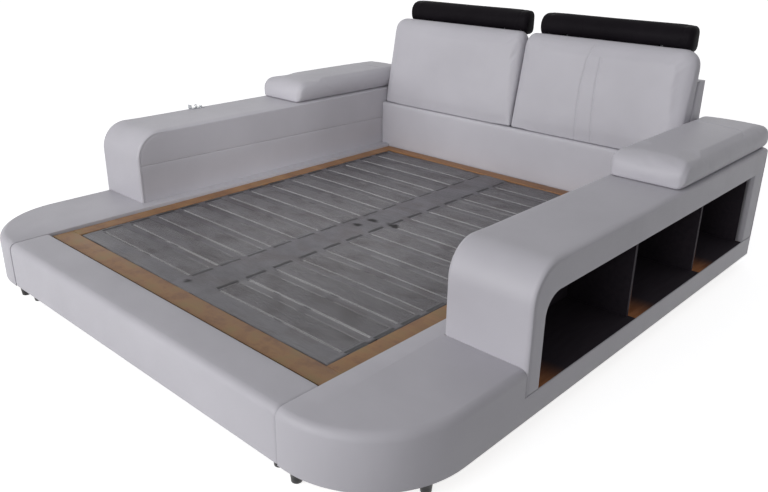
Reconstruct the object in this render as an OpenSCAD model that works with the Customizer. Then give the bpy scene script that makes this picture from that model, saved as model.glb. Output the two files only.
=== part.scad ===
// Upholstered bed: a low padded platform with round front corners, two padded storage arms with open
// bookshelves, a drop-in slat deck, and a headboard with two leaning cushions and two tilting headrests.
// The origin is on the floor under the middle of the bed. +X is to the right of someone who stands at the
// foot, +Y runs to the headboard and +Z is up. All sizes are in millimetres.

/* [Mattress and platform] */
// Width of the mattress that the bed takes
mattress_w = 1600; // [1400:10:1800]
// Length of the mattress
mattress_l = 2000; // [1900:10:2100]
// Free space beside the mattress on each side
side_play = 10; // [6:1:20]
// Free space beyond the mattress at each end
end_play = 20; // [12:1:30]
// Depth of the foot rail from front to back
foot_rail_d = 160; // [130:5:200]
// Height of the platform's top above the floor
plinth_top = 240; // [220:5:270]
// Height of the feet
foot_h = 60; // [45:5:75]
// Radius of a foot where it meets the bed
foot_top_r = 24; // [20:1:26]
// Radius of a foot on the floor
foot_low_r = 16; // [12:1:22]
// Height of the collar at a foot's upper end
foot_collar = 4; // [3:1:8]
// How far the collar stands out
foot_lip = 2; // [1:0.5:3]
// Distance of a corner block's inner foot behind the block's front wall
foot_in = 6; // [2:1:12]
// Direction of a corner block's outer foot, counted from the sideways line through the corner's centre
foot_turn = 17; // [10:1:30]
// Distance of the head rail's feet from the middle of the bed
head_foot_x = 486; // [300:2:700]
// Width of the ledge between the mattress and each arm
ledge_w = 63; // [50:1:80]
// Radius of the platform's front corners, seen from above
corner_r = 345; // [250:5:345]
// Rounding of the platform's upper edge
edge_r = 28; // [20:1:36]
// Thickness of the foam and leather on the frames
pad_t = 14; // [10:1:18]
// Thickness of leather stretched over bare wood
skin_t = 3; // [2:0.5:5]
// Thickness of the platform's boards
board_t = 18; // [12:1:25]

/* [Arms] */
// Width of an arm
arm_w = 307; // [260:1:360]
// Distance from the front of the bed to the front of an arm
arm_setback = 625; // [500:5:700]
// Height of an arm's top above the floor
arm_top = 555; // [500:5:620]
// Radius of an arm's front upper corner
arm_r = 120; // [80:5:150]
// Rounding along the long edges of an arm's wrap
wrap_r = 12; // [4:1:14]
// Height of the low rail under the arm, where the shelf begins
rail_top = 145; // [130:5:160]
// Thickness of the arm's boards
mdf_t = 15; // [10:1:18]
// How far the shelf's floor reaches out over the rail's padding
sill_out = 10; // [6:1:12]
// Thickness of the floor's edge there
sill_t = 3; // [2:0.5:5]
// Rounding of the rail's upper edge in front of the shelf
rail_r = 4; // [2:1:7]
// Width of the beams under an arm
beam_t = 40; // [30:1:60]
// Width of the padded strip in front of the shelf opening
open_front = 75; // [60:1:110]
// Width of the padded strip behind the shelf opening
open_back = 112; // [80:1:140]
// Height of the padded band above the shelf opening
open_band = 106; // [90:1:130]
// Radius of the shelf opening's front upper corner
open_r = 70; // [40:1:100]
// Thickness of the shelf's lining, dividers and ends
shelf_t = 15; // [10:1:20]
// Thickness of the shelf's thin lining on the arm's inner board
lining_t = 6; // [4:1:12]
// Compartments in the bookshelf
shelf_count = 3; // [2:1:4]
// How far a divider's front edge stands back from the arm's outer board
divider_back = 4; // [2:1:20]
// How far the dividers stand behind even spacing
divider_shift = 80; // [0:5:100]
// Height of the sewn seam on the arm's inner side, below the arm's top
seam_drop = 137; // [100:1:160]
// Radius of the sewn seam's groove
seam_r = 2.5; // [1:0.5:4]

/* [Arm pads] */
// Length of an arm pad, from the back of the bed
arm_pad_l = 880; // [700:10:1000]
// Height of an arm pad's edge
arm_pad_h = 100; // [80:1:130]
// Rise of an arm pad's middle above its edge
arm_pad_crown = 10; // [4:1:16]
// Rounding of an arm pad's long edges
arm_pad_r = 34; // [24:1:40]
// Rounding of an arm pad's front and rear edges
arm_pad_end_r = 56; // [40:1:60]
// Rounding of an arm pad's lower edges
arm_pad_low_r = 6; // [3:1:12]
// Rounding of an arm pad's corners, seen from above
arm_pad_corner_r = 44; // [30:1:60]

/* [Slat deck] */
// Free space around the deck's frame
deck_gap = 10; // [5:1:15]
// How far the deck's frame lies below the platform's top
deck_drop = 10; // [6:1:16]
// Thickness of the deck's frame
bar_t = 28; // [22:1:34]
// Width of the deck's front bar
front_bar = 85; // [60:1:110]
// Width of the deck's other three bars
side_bar = 65; // [50:1:80]
// Width of a slat
slat_w = 85; // [60:1:95]
// Thickness of a slat
slat_t = 8; // [6:0.5:10]
// Distance from one slat to the next, front edge to front edge
slat_pitch = 127; // [115:1:150]
// Free space between the deck's front bar and the first slat
slat_first = 94; // [40:1:100]
// Width of the centre beam
centre_w = 70; // [50:1:90]
// Length of a slat holder at the centre beam
holder_in = 47; // [35:1:60]
// Length of a slat holder at a side bar
holder_out = 22; // [18:1:34]
// How far a slat's end reaches into its holder
slat_grip = 12; // [8:1:16]
// Wall of a slat holder
holder_wall = 2.5; // [1.5:0.5:4]
// Clearance between a slat and its holder
holder_play = 0.2; // [0.1:0.1:0.5]
// How far the slat holders' tops lie below the deck frame's top
slat_set = 2; // [1:0.5:4]
// Width of a strap under the slats
strap_w = 40; // [25:1:60]
// Thickness of a strap
strap_t = 3; // [1:0.5:5]
// Width and height of a ledger batten that carries the deck
ledger = 30; // [24:1:40]
// Radius of a leg under the centre beam
leg_r = 16; // [12:1:22]
// Number of legs under the centre beam
leg_count = 3; // [2:1:4]
// Radius of such a leg's pad
leg_pad_r = 25; // [24:1:34]
// Thickness of such a leg's pad
leg_pad_t = 4; // [2:0.5:8]

/* [Headboard] */
// Depth of the headboard zone behind the mattress
head_zone = 250; // [230:5:300]
// Thickness of the lower padded panel
panel_t = 60; // [50:1:75]
// Height of the ledge that the cushions stand on
ledge_z = 476; // [440:1:500]
// Height of the headboard's frame
head_top = 805; // [780:5:850]
// How far the headboard's back stands in from the back of the arms
head_inset = 35; // [15:1:45]
// Rounding of the lower panel's front edges
panel_r = 16; // [8:1:20]
// Rounding of the lower panel's rear edges
panel_low_r = 4; // [2:1:8]
// Rise of the lower panel's middle above its edge
panel_crown = 6; // [3:1:10]
// Depth of the ledge behind the lower panel
ledge_d = 45; // [40:1:55]
// Thickness of the sloping board
slope_t = 12; // [9:1:18]
// Thickness of the back board
back_t = 6; // [4:1:9]
// Height of the headboard's cross rails
cross_h = 40; // [30:1:60]

/* [Back cushions] */
// Height of a back cushion along its slope
cushion_h = 458; // [420:1:480]
// Thickness of a back cushion's edge
cushion_t = 98; // [90:1:105]
// Rise of a back cushion's middle above its edge
cushion_crown = 18; // [8:1:26]
// Rounding of a back cushion's front edges
cushion_r = 42; // [30:1:44]
// Rounding of a back cushion's rear edges
cushion_back_r = 50; // [40:1:50]
// How far the long sides of a back cushion and an arm pad pull in between their corners
side_pull = 5; // [2:1:8]
// Angle that the cushions lean back
lean = 9; // [6:0.5:11]
// Gap between the two cushions
cushion_gap = 4; // [2:1:10]
// Free space between a back cushion and the arm beside it
cushion_play = 2; // [1:0.5:6]

/* [Headrests] */
// Length of a headrest
rest_l = 755; // [700:5:790]
// Height of a headrest
rest_h = 110; // [106:1:120]
// Thickness of a headrest
rest_t = 92; // [88:1:100]
// Rounding of a headrest's long front edges
rest_r = 50; // [40:1:52]
// Rounding of a headrest's long rear edges
rest_back_r = 22; // [14:1:30]
// Rounding of a headrest's front edges at its ends
rest_side_r = 20; // [12:1:24]
// Rounding of a headrest's corners, seen from the front
rest_end_r = 24; // [24:1:40]
// Rise of a headrest's front above its edge
rest_crown = 2; // [1:0.5:4]
// Gap between the two headrests
rest_gap = 92; // [60:2:120]
// How far a headrest's middle lies behind its hinge axis
rest_back = 5; // [0:1:8]
// Height of the hinge axis above the headboard's frame
pivot_up = 156; // [150:1:164]
// Distance of the hinge axis in front of the headboard's back
pivot_in = 17; // [17:1:24]
// Distance between a headrest's two hinges
hinge_span = 480; // [300:10:560]
// Radius of a hinge pin
pin_r = 5; // [4:0.5:6]
// Radial clearance of a hinge pin in its eye
pin_play = 0.05; // [0.02:0.01:0.1]
// Wall of the eye around a hinge pin
eye_wall = 7; // [4:1:8]
// Length of the eye
eye_l = 24; // [20:1:30]
// Thickness of a hinge's lugs and of the bridge between them
lug_t = 4; // [3:0.5:6]
// Wall of a lug around the pin
lug_wall = 9; // [6:1:10]
// Height of the bridge's upper face above the hinge axis
bridge_up = 32; // [30:1:36]
// Thickness of the fixed stem that carries the eye
stem_t = 5; // [4:0.5:8]
// Width of the stem
stem_w = 20; // [14:1:22]
// Width of the bracket's foot plate
bracket_w = 44; // [36:1:60]
// Depth of the bracket's foot plate
bracket_d = 34; // [24:1:34]
// Thickness of the bracket's foot plate
bracket_t = 4; // [3:0.5:6]
// Height of the batten inside a headrest
batten_h = 18; // [14:1:20]
// Thickness of the batten
batten_t = 20; // [12:1:30]
// Largest tilt forward
tilt_front = 45; // [30:1:50]
// Largest tilt backward
tilt_back = 15; // [5:1:20]
// Further turn that the slot around a stem leaves free at both ends of the tilt
slot_play = 6; // [4:1:10]

/* [Fasteners and small parts] */
// Radius of a frame bolt's shank
bolt_r = 4; // [3:0.5:5]
// Radial clearance of a bolt in its hole
bolt_play = 0.5; // [0.2:0.1:1]
// Radial clearance of a bolt in its nut
thread_play = 0.1; // [0.05:0.05:0.2]
// Radius of a bolt's head and nut
bolt_head_r = 7; // [6:0.5:9]
// Height of a bolt's head and nut
bolt_head_l = 6; // [4:0.5:8]
// Distance of the foot rail's bolts from its upper and lower edges
bolt_edge = 50; // [40:1:60]
// Width of the solid blocks at the foot rail's ends
block_l = 30; // [20:1:40]
// Distance between the two bolts that tie the headboard to an arm
tie_gap = 52; // [40:1:60]
// Distance of the rear one from the headboard's back
tie_back = 28; // [20:1:34]
// Distance of these bolts below the arm's top
tie_drop = 60; // [40:1:80]
// Length of the chrome fitting on the left arm
catch_l = 80; // [60:1:100]
// Width of the chrome fitting
catch_w = 28; // [20:1:40]
// Thickness of the chrome fitting's plate
catch_t = 2; // [1.5:0.5:4]
// Radius of the chrome fitting's ring
ring_r = 8; // [5:0.5:10]
// Radius of the ring's wire
wire_r = 2.2; // [1.5:0.1:3]
// Height of the chrome fitting's upright tab
catch_h = 21; // [14:1:26]
// Distance of the ring behind the tab
ring_back = 36; // [24:1:44]
// Distance of the knob behind the tab
knob_back = 64; // [54:1:70]
// Radius of the knob
knob_r = 6; // [4:0.5:8]
// Height of the knob
knob_h = 9; // [6:0.5:12]
// Distance of the chrome fitting behind the front of the arm
catch_back = 470; // [200:10:560]

/* [Hidden] */

// Fine rounding for cylinders and revolved corners
round_fn = 64;
// Clearance between separate pieces that meet
gap = 0.3;
// Overshoot of a cutting shape past the face that it opens
over = 1;

// Places across the bed
half_well = mattress_w / 2 + side_play;
arm_in = half_well + ledge_w;
half_w = arm_in + arm_w;
deck_half = half_well - deck_gap;
head_half = arm_in - gap;

// Places along the bed
well_l = mattress_l + 2 * end_play;
total_l = foot_rail_d + well_l + head_zone;
y_front = -total_l / 2;
y_well = y_front + foot_rail_d;
y_head = y_well + well_l;
y_back = total_l / 2;
y_arm = y_front + arm_setback;
y_corner = y_arm - gap;
y_deck = y_well + deck_gap;
deck_l = well_l - 2 * deck_gap;

// Round front corner of the platform
plan_r = min(corner_r, half_w - half_well - skin_t - board_t - gap);
corner_x = half_w - plan_r;
corner_y = y_front + plan_r;

// Inside of an arm
board_in = arm_in + pad_t;
inside_in = board_in + mdf_t;
board_out = half_w - pad_t;
inside_out = board_out - mdf_t;
floor_z = rail_top - board_t;
y_arm_end = y_back - pad_t;
open_y0 = y_arm + open_front;
open_y1 = y_back - open_back;
open_z = arm_top - open_band;
lining_x = inside_in + lining_t + gap;
shelf_gap = (open_y1 - open_y0 - (shelf_count - 1) * shelf_t) / shelf_count;

// Cross beams under an arm, and the feet under them
cross_y = [y_arm + beam_t, (y_arm + y_back) / 2, y_back - 2 * beam_t];

// Slat deck
deck_top = plinth_top - deck_drop;
deck_low = deck_top - bar_t;
slat_top = deck_top - slat_set - holder_wall - holder_play;
slat_low = slat_top - slat_t;
slat_x0 = centre_w / 2 + holder_in - slat_grip;
slat_x1 = deck_half - side_bar - holder_out + slat_grip;
slat_y0 = y_deck + front_bar + slat_first;
slat_room = deck_l - front_bar - slat_first - side_bar;
slat_count = floor((slat_room - slat_w - holder_wall) / slat_pitch) + 1;

// Headboard
y_frame = y_head + panel_t;
y_seat = y_frame + ledge_d;
y_rear = y_back - head_inset;
frame_top = head_top - skin_t;
slope = tan(lean);

// Hinges of the headrests
pivot_y = y_rear - pivot_in;
pivot_z = head_top + pivot_up;
rest_low = pivot_z - rest_t / 2;
hub_r = pin_r + eye_wall;
lug_r = pin_r + lug_wall;
hinge_l = eye_l + 2 * gap + 2 * lug_t;
rest_x = rest_gap / 2 + rest_l / 2;

// Bolts: places in the foot rail and in the headboard's sides
bolt_y = y_front + foot_rail_d / 2;
bolt_zs = [foot_h + bolt_edge, plinth_top - bolt_edge];
tie_ys = [y_rear - tie_back - tie_gap, y_rear - tie_back];
tie_z = arm_top - tie_drop;

// Colours
leather_white = [0.83, 0.82, 0.85];
leather_black = [0.06, 0.055, 0.06];
shelf_black = [0.08, 0.065, 0.06];
raw_wood = [0.72, 0.56, 0.38];
deck_wood = [0.66, 0.48, 0.31];
slat_grey = [0.5, 0.48, 0.46];
steel_grey = [0.55, 0.56, 0.58];

// Repeats a right-hand piece on the left, as a mirror image
module left() { mirror([1, 0, 0]) children(); }
module both() {
    children();
    mirror([1, 0, 0]) children();
}

// What a rounding of radius r takes off the corner at the origin of a shape in the first quadrant
module corner_off(r) {
    if (r > 0) difference() {
        translate([-over, -over]) square(r + over);
        translate([r, r]) circle(r, $fn = round_fn);
    }
}

// Block section w wide and h high whose outer upper edge is rounded
module edge_section(w, h, r) {
    difference() {
        square([w, h]);
        translate([w, h]) rotate(180) corner_off(r);
    }
}

// Plate of thickness t that stands across X at x, from an outline drawn in Y and Z
module plate(x, t) {
    translate([x, 0, 0]) rotate([90, 0, 90]) linear_extrude(t) children();
}

// Corner block with its outer faces drawn in by inset, from z0 up to z1
module corner_block(inset, z0, z1, r, x0, y1) {
    w = plan_r - inset;
    h = z1 - z0;
    translate([corner_x, corner_y, z0]) rotate([0, 0, -90])
        rotate_extrude(angle = 90, $fn = round_fn) edge_section(w, h, r);
    translate([corner_x, y1, z0]) rotate([90, 0, 0])
        linear_extrude(y1 - corner_y) edge_section(w, h, r);
    translate([corner_x, corner_y, z0]) rotate([90, 0, -90])
        linear_extrude(corner_x - x0) edge_section(w, h, r);
    translate([x0, corner_y, z0]) cube([corner_x - x0, y1 - corner_y, h]);
}

// Side outline of an arm in Y and Z, drawn in at the front and top by inset
module arm_outline(inset, low, back) {
    y0 = y_arm + inset;
    z1 = arm_top - inset;
    difference() {
        translate([y0, low]) square([back - y0, z1 - low]);
        translate([y0, z1]) rotate(-90) corner_off(arm_r - inset);
    }
}

// Shelf opening in Y and Z, open at the bottom
module opening_outline() {
    difference() {
        translate([open_y0, rail_top - over]) square([open_y1 - open_y0, open_z - rail_top + over]);
        translate([open_y0, open_z]) rotate(-90) corner_off(open_r);
    }
}

// Frame bolts: children are one cylinder along X, repeated at the foot rail's joints or the headboard's ties
module at_rail_bolts() { for (z = bolt_zs) translate([0, bolt_y, z]) children(); }
module at_ties() { for (y = tie_ys) translate([0, y, tie_z]) children(); }
module bolt_hole(x0, x1) {
    translate([x0, 0, 0]) rotate([0, 90, 0]) cylinder(r = bolt_r + bolt_play, h = x1 - x0, $fn = round_fn);
}

// Soft closed form, l by w in plan and h thick: its corners are rounded by plan, its upper edges by
// edge = [along l, along w, in height] and its lower edges by low; its long sides pull in by draw and its
// upper face rises by crown. A ring is one closed row of points, and rings run from the base to the crown.
corner_steps = 4;
side_steps = 4;
edge_steps = 4;
crown_steps = 5;
crown_end = 0.6;
least_r = 2;
function ring_point(a, b, r, z, draw, k, i) =
    let (
        sx = (k == 0 || k == 3) ? 1 : -1,
        sy = k < 2 ? 1 : -1,
        turn = 90 * (k + min(i / corner_steps, 1)),
        t = max(0, i - corner_steps) / side_steps,
        run = (k % 2 == 0 ? 2 * (a - r) : 2 * (b - r)) * t,
        pull = draw * 4 * t * (1 - t)
    )
    [sx * (a - r) + r * cos(turn) + run * cos(90 * k + 180) - pull * cos(turn),
        sy * (b - r) + r * sin(turn) + run * sin(90 * k + 180) - pull * sin(turn), z];
function ring(a, b, r, z, draw) =
    [for (k = [0:3], i = [0:corner_steps + side_steps - 1]) ring_point(a, b, r, z, draw, k, i)];
function crown_ring(a, b, r, h, crown, f) =
    ring(a * f, b * f, f * (r * f + min(a, b) * (1 - f)), h + crown * (1 - f * f), 0);
function soft_rings(l, w, h, plan, edge, low, crown, draw) = [
    for (i = [0:edge_steps]) let (turn = 90 * i / edge_steps, s = low * (1 - sin(turn)))
        ring(l / 2 - s, w / 2 - s, max(plan - s, least_r), low * (1 - cos(turn)), draw * sin(turn)),
    for (i = [0:edge_steps]) let (turn = 90 * i / edge_steps, s = 1 - cos(turn))
        ring(l / 2 - edge[0] * s, w / 2 - edge[1] * s, max(plan - min(edge[0], edge[1]) * s, least_r),
            h - edge[2] * (1 - sin(turn)), draw * cos(turn)),
    for (i = [1:crown_steps])
        crown_ring(l / 2 - edge[0], w / 2 - edge[1], max(plan - min(edge[0], edge[1]), least_r), h, crown,
            1 - i / (crown_steps + crown_end))
];
module soft_form(l, w, h, plan, edge, low, crown, draw) {
    rings = soft_rings(l, w, h, plan, edge, low, crown, draw);
    n = 4 * (corner_steps + side_steps);
    m = len(rings);
    points = concat([[0, 0, 0]], [for (one = rings, p = one) p], [[0, 0, h + crown]]);
    top = len(points) - 1;
    faces = concat(
        [for (j = [0:n - 1]) [0, 1 + j, 1 + (j + 1) % n]],
        [for (i = [0:m - 2], j = [0:n - 1]) [1 + i * n + j, 1 + (i + 1) * n + j, 1 + i * n + (j + 1) % n]],
        [for (i = [0:m - 2], j = [0:n - 1])
            [1 + i * n + (j + 1) % n, 1 + (i + 1) * n + j, 1 + (i + 1) * n + (j + 1) % n]],
        [for (j = [0:n - 1]) [1 + (m - 1) * n + j, top, 1 + (m - 1) * n + (j + 1) % n]]
    );
    polyhedron(points, faces, convexity = 4);
}

module foot_rail_frame() color(raw_wood) {
    l = 2 * (half_well - gap);
    d = foot_rail_d - pad_t - skin_t;
    h = plinth_top - pad_t - foot_h;
    difference() {
        translate([-l / 2, y_front + pad_t, foot_h]) cube([l, d, h]);
        translate([-l / 2 + block_l, y_front + pad_t + board_t, foot_h - over])
            cube([l - 2 * block_l, d - 2 * board_t, h - board_t + over]);
        both() at_rail_bolts() bolt_hole(half_well - block_l - over, half_well + over);
    }
    both() translate([foot_rail_foot[0] - foot_top_r, y_front + pad_t + board_t, foot_h])
        cube([2 * foot_top_r, d - 2 * board_t, h - board_t]);
}

module foot_rail_cover() color(leather_white) {
    l = 2 * (half_well - gap);
    h = plinth_top - foot_h;
    difference() {
        translate([l / 2, y_well, foot_h]) rotate([90, 0, -90])
            linear_extrude(l) edge_section(foot_rail_d, h, edge_r);
        translate([-l / 2 - over, y_front + pad_t, foot_h - over])
            cube([l + 2 * over, foot_rail_d - pad_t - skin_t, h - pad_t + over]);
    }
}

module corner_frame() color(raw_wood) {
    x0 = half_well + skin_t;
    y1 = y_corner - skin_t;
    z1 = plinth_top - pad_t;
    difference() {
        corner_block(pad_t, foot_h, z1, edge_r - pad_t, x0, y1);
        corner_block(pad_t + board_t, foot_h - over, z1 - board_t, 0, x0 + board_t, y1 - board_t);
        at_rail_bolts() bolt_hole(x0 - over, x0 + board_t + over);
    }
    for (p = corner_feet) translate([p[0] - foot_top_r, p[1] - foot_top_r, foot_h])
        cube([2 * foot_top_r, 2 * foot_top_r, z1 - board_t - foot_h]);
}

// Edge of the shelf's floor over the rail's padding, or with play the recess for it
module shelf_sill(play) {
    h = sill_t + play;
    translate([board_out - over, open_y0 - play, rail_top - h])
        cube([sill_out + play + over, open_y1 - open_y0 + 2 * play, h + (play > 0 ? over : 0)]);
}

module plinth_cover() color(leather_white) {
    z1 = plinth_top - pad_t;
    difference() {
        union() {
            corner_block(0, foot_h, plinth_top, edge_r, half_well, y_corner);
            translate([half_well, y_corner - over, foot_h])
                cube([ledge_w, y_head - y_corner + over, plinth_top - foot_h]);
            translate([board_out, y_arm_end, foot_h]) rotate([90, 0, 0])
                linear_extrude(y_arm_end - y_corner + over) edge_section(pad_t, rail_top - foot_h, rail_r);
        }
        shelf_sill(gap);
        corner_block(pad_t, foot_h - over, z1, edge_r - pad_t, half_well + skin_t, y_corner - skin_t);
        translate([half_well + skin_t, y_corner - skin_t - over, foot_h - over])
            cube([ledge_w - skin_t + over, y_head - y_corner + skin_t + 2 * over, z1 - foot_h + over]);
        at_rail_bolts() bolt_hole(half_well - over, half_well + skin_t + over);
    }
}

module side_rail() color(raw_wood) {
    y0 = y_corner - skin_t;
    translate([half_well + skin_t, y0, foot_h])
        cube([ledge_w - skin_t, y_head - y0, plinth_top - pad_t - foot_h]);
}

module head_rail() color(raw_wood) {
    translate([-head_half, y_head, foot_h]) cube([2 * head_half, panel_t - gap, deck_low - foot_h]);
}

module arm_base() color(raw_wood) {
    h = floor_z - foot_h;
    w = board_out - arm_in - 2 * beam_t - 2 * gap;
    translate([arm_in, y_arm, foot_h]) cube([beam_t, y_arm_end - y_arm, h]);
    translate([board_out - beam_t, y_arm, foot_h]) cube([beam_t, y_arm_end - y_arm, h]);
    for (y = cross_y) translate([arm_in + beam_t + gap, y - foot_top_r, foot_h]) cube([w, 2 * foot_top_r, h]);
}

module arm_floor() color(shelf_black) {
    translate([arm_in, y_arm, floor_z]) cube([board_out - arm_in, y_arm_end - y_arm, board_t]);
    shelf_sill(0);
}

module arm_inner_board() color(raw_wood) difference() {
    plate(board_in, mdf_t) arm_outline(pad_t, rail_top, y_arm_end);
    at_ties() bolt_hole(board_in - over, inside_in + over);
}

module arm_outer_board() color(raw_wood) plate(inside_out, mdf_t) difference() {
    arm_outline(pad_t, rail_top, y_arm_end);
    opening_outline();
}

module arm_bent_board() color(raw_wood) plate(inside_in, inside_out - inside_in) difference() {
    arm_outline(pad_t, rail_top, y_arm_end);
    arm_outline(pad_t + mdf_t, rail_top - over, y_arm_end + over);
}

module arm_back_board() color(raw_wood) {
    translate([inside_in, y_arm_end - mdf_t, rail_top])
        cube([inside_out - inside_in, mdf_t, arm_top - pad_t - mdf_t - rail_top]);
}

// Section of an arm's wrap: as wide as the arm, padded, with rounded outer edges
module wrap_section() {
    difference() {
        square([arm_w, pad_t]);
        translate([0, pad_t]) rotate(-90) corner_off(wrap_r);
        translate([arm_w, pad_t]) rotate(180) corner_off(wrap_r);
    }
}

module arm_wrap() color(leather_white) {
    y0 = y_arm + arm_r;
    z0 = arm_top - arm_r;
    translate([arm_in, y_arm + pad_t, rail_top]) mirror([0, 1, 0])
        linear_extrude(z0 - rail_top) wrap_section();
    translate([arm_in, y0, z0]) rotate([0, 90, 0]) rotate([0, 0, 180])
        rotate_extrude(angle = 90, $fn = round_fn)
            translate([arm_r - pad_t, 0]) mirror([1, 0]) rotate(90) wrap_section();
    translate([arm_in, y_back, arm_top - pad_t]) rotate([90, 0, 0])
        linear_extrude(y_back - y0) wrap_section();
    translate([arm_in, y_arm_end, foot_h]) cube([arm_w, pad_t, arm_top - pad_t - foot_h]);
}

module arm_inner_side() color(leather_white) difference() {
    plate(arm_in, pad_t) arm_outline(pad_t, rail_top, y_arm_end);
    translate([arm_in, y_arm_end + over, arm_top - seam_drop]) rotate([90, 0, 0])
        cylinder(r = seam_r, h = y_arm_end - y_arm + 2 * over, $fn = round_fn);
    at_ties() bolt_hole(arm_in - over, board_in + over);
}

module arm_outer_side() color(leather_white) plate(board_out, pad_t) difference() {
    arm_outline(pad_t, rail_top, y_arm_end);
    opening_outline();
}

module shelf_box() color(shelf_black) {
    l = open_y1 - open_y0 + 2 * shelf_t;
    w = inside_out - lining_x;
    translate([inside_in, open_y0 - shelf_t, rail_top]) cube([lining_t, l, open_z - rail_top + shelf_t]);
    translate([lining_x, open_y0 - shelf_t, open_z]) cube([w, l, shelf_t]);
    for (y = [open_y0 - shelf_t, open_y1]) translate([lining_x, y, rail_top])
        cube([w, shelf_t, open_z - rail_top - gap]);
}

module shelf_dividers() color(shelf_black) {
    for (i = [1:shelf_count - 1])
        translate([lining_x, open_y0 + divider_shift + i * shelf_gap + (i - 1) * shelf_t, rail_top])
            cube([inside_out - divider_back - lining_x, shelf_t, open_z - rail_top]);
}

module arm_pad() color(leather_white) {
    translate([(arm_in + half_w) / 2, y_back - arm_pad_l / 2, arm_top + gap])
        soft_form(arm_w, arm_pad_l, arm_pad_h, arm_pad_corner_r, [arm_pad_r, arm_pad_end_r, arm_pad_end_r],
            arm_pad_low_r, arm_pad_crown, side_pull);
}

module chrome_fitting() color("silver") {
    x1 = -half_w + pad_t;
    y0 = y_arm + catch_back;
    mid = x1 + catch_w / 2;
    translate([x1, y0, arm_top]) cube([catch_w, catch_l, catch_t]);
    translate([x1, y0, arm_top]) cube([catch_w, catch_t, catch_h]);
    translate([mid, y0 + ring_back, arm_top + catch_t / 2 + wire_r + ring_r]) rotate([90, 0, 0])
        rotate_extrude($fn = round_fn) translate([ring_r, 0]) circle(wire_r, $fn = round_fn);
    translate([mid, y0 + knob_back, arm_top + catch_t / 2]) cylinder(r = knob_r, h = knob_h, $fn = round_fn);
}

module deck_frame() color(deck_wood) {
    l = 2 * deck_half;
    translate([-deck_half, y_deck, deck_low]) cube([l, front_bar, bar_t]);
    translate([-deck_half, y_deck + deck_l - side_bar, deck_low]) cube([l, side_bar, bar_t]);
    both() translate([deck_half - side_bar, y_deck + front_bar + gap, deck_low])
        cube([side_bar, deck_l - front_bar - side_bar - 2 * gap, bar_t]);
}

module centre_beam() color(slat_grey) {
    translate([-centre_w / 2, y_deck + front_bar + gap, deck_low])
        cube([centre_w, deck_l - front_bar - side_bar - 2 * gap, bar_t - holder_wall]);
}

module slats() color(slat_grey) {
    for (i = [0:slat_count - 1]) both()
        translate([slat_x0, slat_y0 + i * slat_pitch, slat_low]) cube([slat_x1 - slat_x0, slat_w, slat_t]);
}

module slat_holder(x0, x1) {
    side = holder_wall + holder_play;
    difference() {
        translate([x0, -side, slat_low - side]) cube([x1 - x0, slat_w + 2 * side, slat_t + 2 * side]);
        translate([slat_x0 - holder_play, -holder_play, slat_low - holder_play])
            cube([slat_x1 - slat_x0 + 2 * holder_play, slat_w + 2 * holder_play, slat_t + 2 * holder_play]);
    }
}

module slat_holders() color([0.12, 0.12, 0.13]) {
    for (i = [0:slat_count - 1]) both() translate([0, slat_y0 + i * slat_pitch, 0]) {
        slat_holder(centre_w / 2, centre_w / 2 + holder_in);
        slat_holder(deck_half - side_bar - holder_out, deck_half - side_bar);
    }
}

module slat_straps() color([0.16, 0.15, 0.15]) {
    l = (slat_count - 1) * slat_pitch + slat_w;
    both() translate([(slat_x0 + slat_x1) / 2 - strap_w / 2, slat_y0, slat_low - strap_t])
        cube([strap_w, l, strap_t]);
}

module deck_ledgers() color(raw_wood) {
    z0 = deck_low - ledger;
    both() translate([half_well - ledger, y_deck + ledger, z0]) cube([ledger, deck_l - 2 * ledger, ledger]);
    translate([-half_well + ledger, y_well, z0]) cube([2 * half_well - 2 * ledger, ledger, ledger]);
    translate([-half_well + ledger, y_head - ledger, z0]) cube([2 * half_well - 2 * ledger, ledger, ledger]);
}

module centre_legs() color(steel_grey) {
    step = deck_l / (leg_count + 1);
    for (i = [1:leg_count]) translate([0, y_deck + i * step, 0]) {
        cylinder(r = leg_pad_r, h = leg_pad_t, $fn = round_fn);
        cylinder(r = leg_r, h = deck_low, $fn = round_fn);
    }
}

module head_panel() color(leather_white) {
    h = ledge_z - deck_low - 2 * gap;
    translate([0, y_frame - gap, deck_low + gap + h / 2]) rotate([90, 0, 0])
        soft_form(2 * head_half, h, panel_t - gap - panel_crown, panel_r, [panel_r, panel_r, panel_r],
            panel_low_r, panel_crown, 0);
}

// Side of the headboard in Y and Z: upright back, ledge for the cushions and sloping upper front
module head_side_outline() {
    rise = frame_top - ledge_z;
    polygon([[y_frame, foot_h], [y_rear - back_t, foot_h], [y_rear - back_t, frame_top],
        [y_seat + slope * rise, frame_top], [y_seat, ledge_z], [y_frame, ledge_z]]);
}

module headboard_frame() color(raw_wood) {
    inner = head_half - board_t - skin_t - gap;
    y_top = y_seat + slope * (frame_top - ledge_z) + slope_t + gap;
    y_low = y_frame + board_t + gap;
    difference() {
        union() both() plate(head_half - board_t - skin_t, board_t) head_side_outline();
        both() at_ties() bolt_hole(head_half - board_t - skin_t - over, head_half + over);
    }
    translate([-inner, y_top, frame_top - cross_h]) cube([2 * inner, y_rear - back_t - y_top, cross_h]);
    translate([-inner, y_low, foot_h]) cube([2 * inner, y_rear - back_t - y_low, cross_h]);
    translate([-inner, y_frame, ledge_z - board_t]) cube([2 * inner, y_rear - back_t - y_frame, board_t]);
}

module headboard_front_board() color(raw_wood) {
    inner = head_half - board_t - skin_t - gap;
    translate([-inner, y_frame, foot_h]) cube([2 * inner, board_t, ledge_z - board_t - foot_h - gap]);
}

module headboard_slope_board() color(raw_wood) {
    inner = head_half - board_t - skin_t - gap;
    rise = frame_top - ledge_z;
    plate(-inner, 2 * inner) polygon([[y_seat, ledge_z], [y_seat + slope_t, ledge_z],
        [y_seat + slope_t + slope * rise, frame_top], [y_seat + slope * rise, frame_top]]);
}

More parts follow.
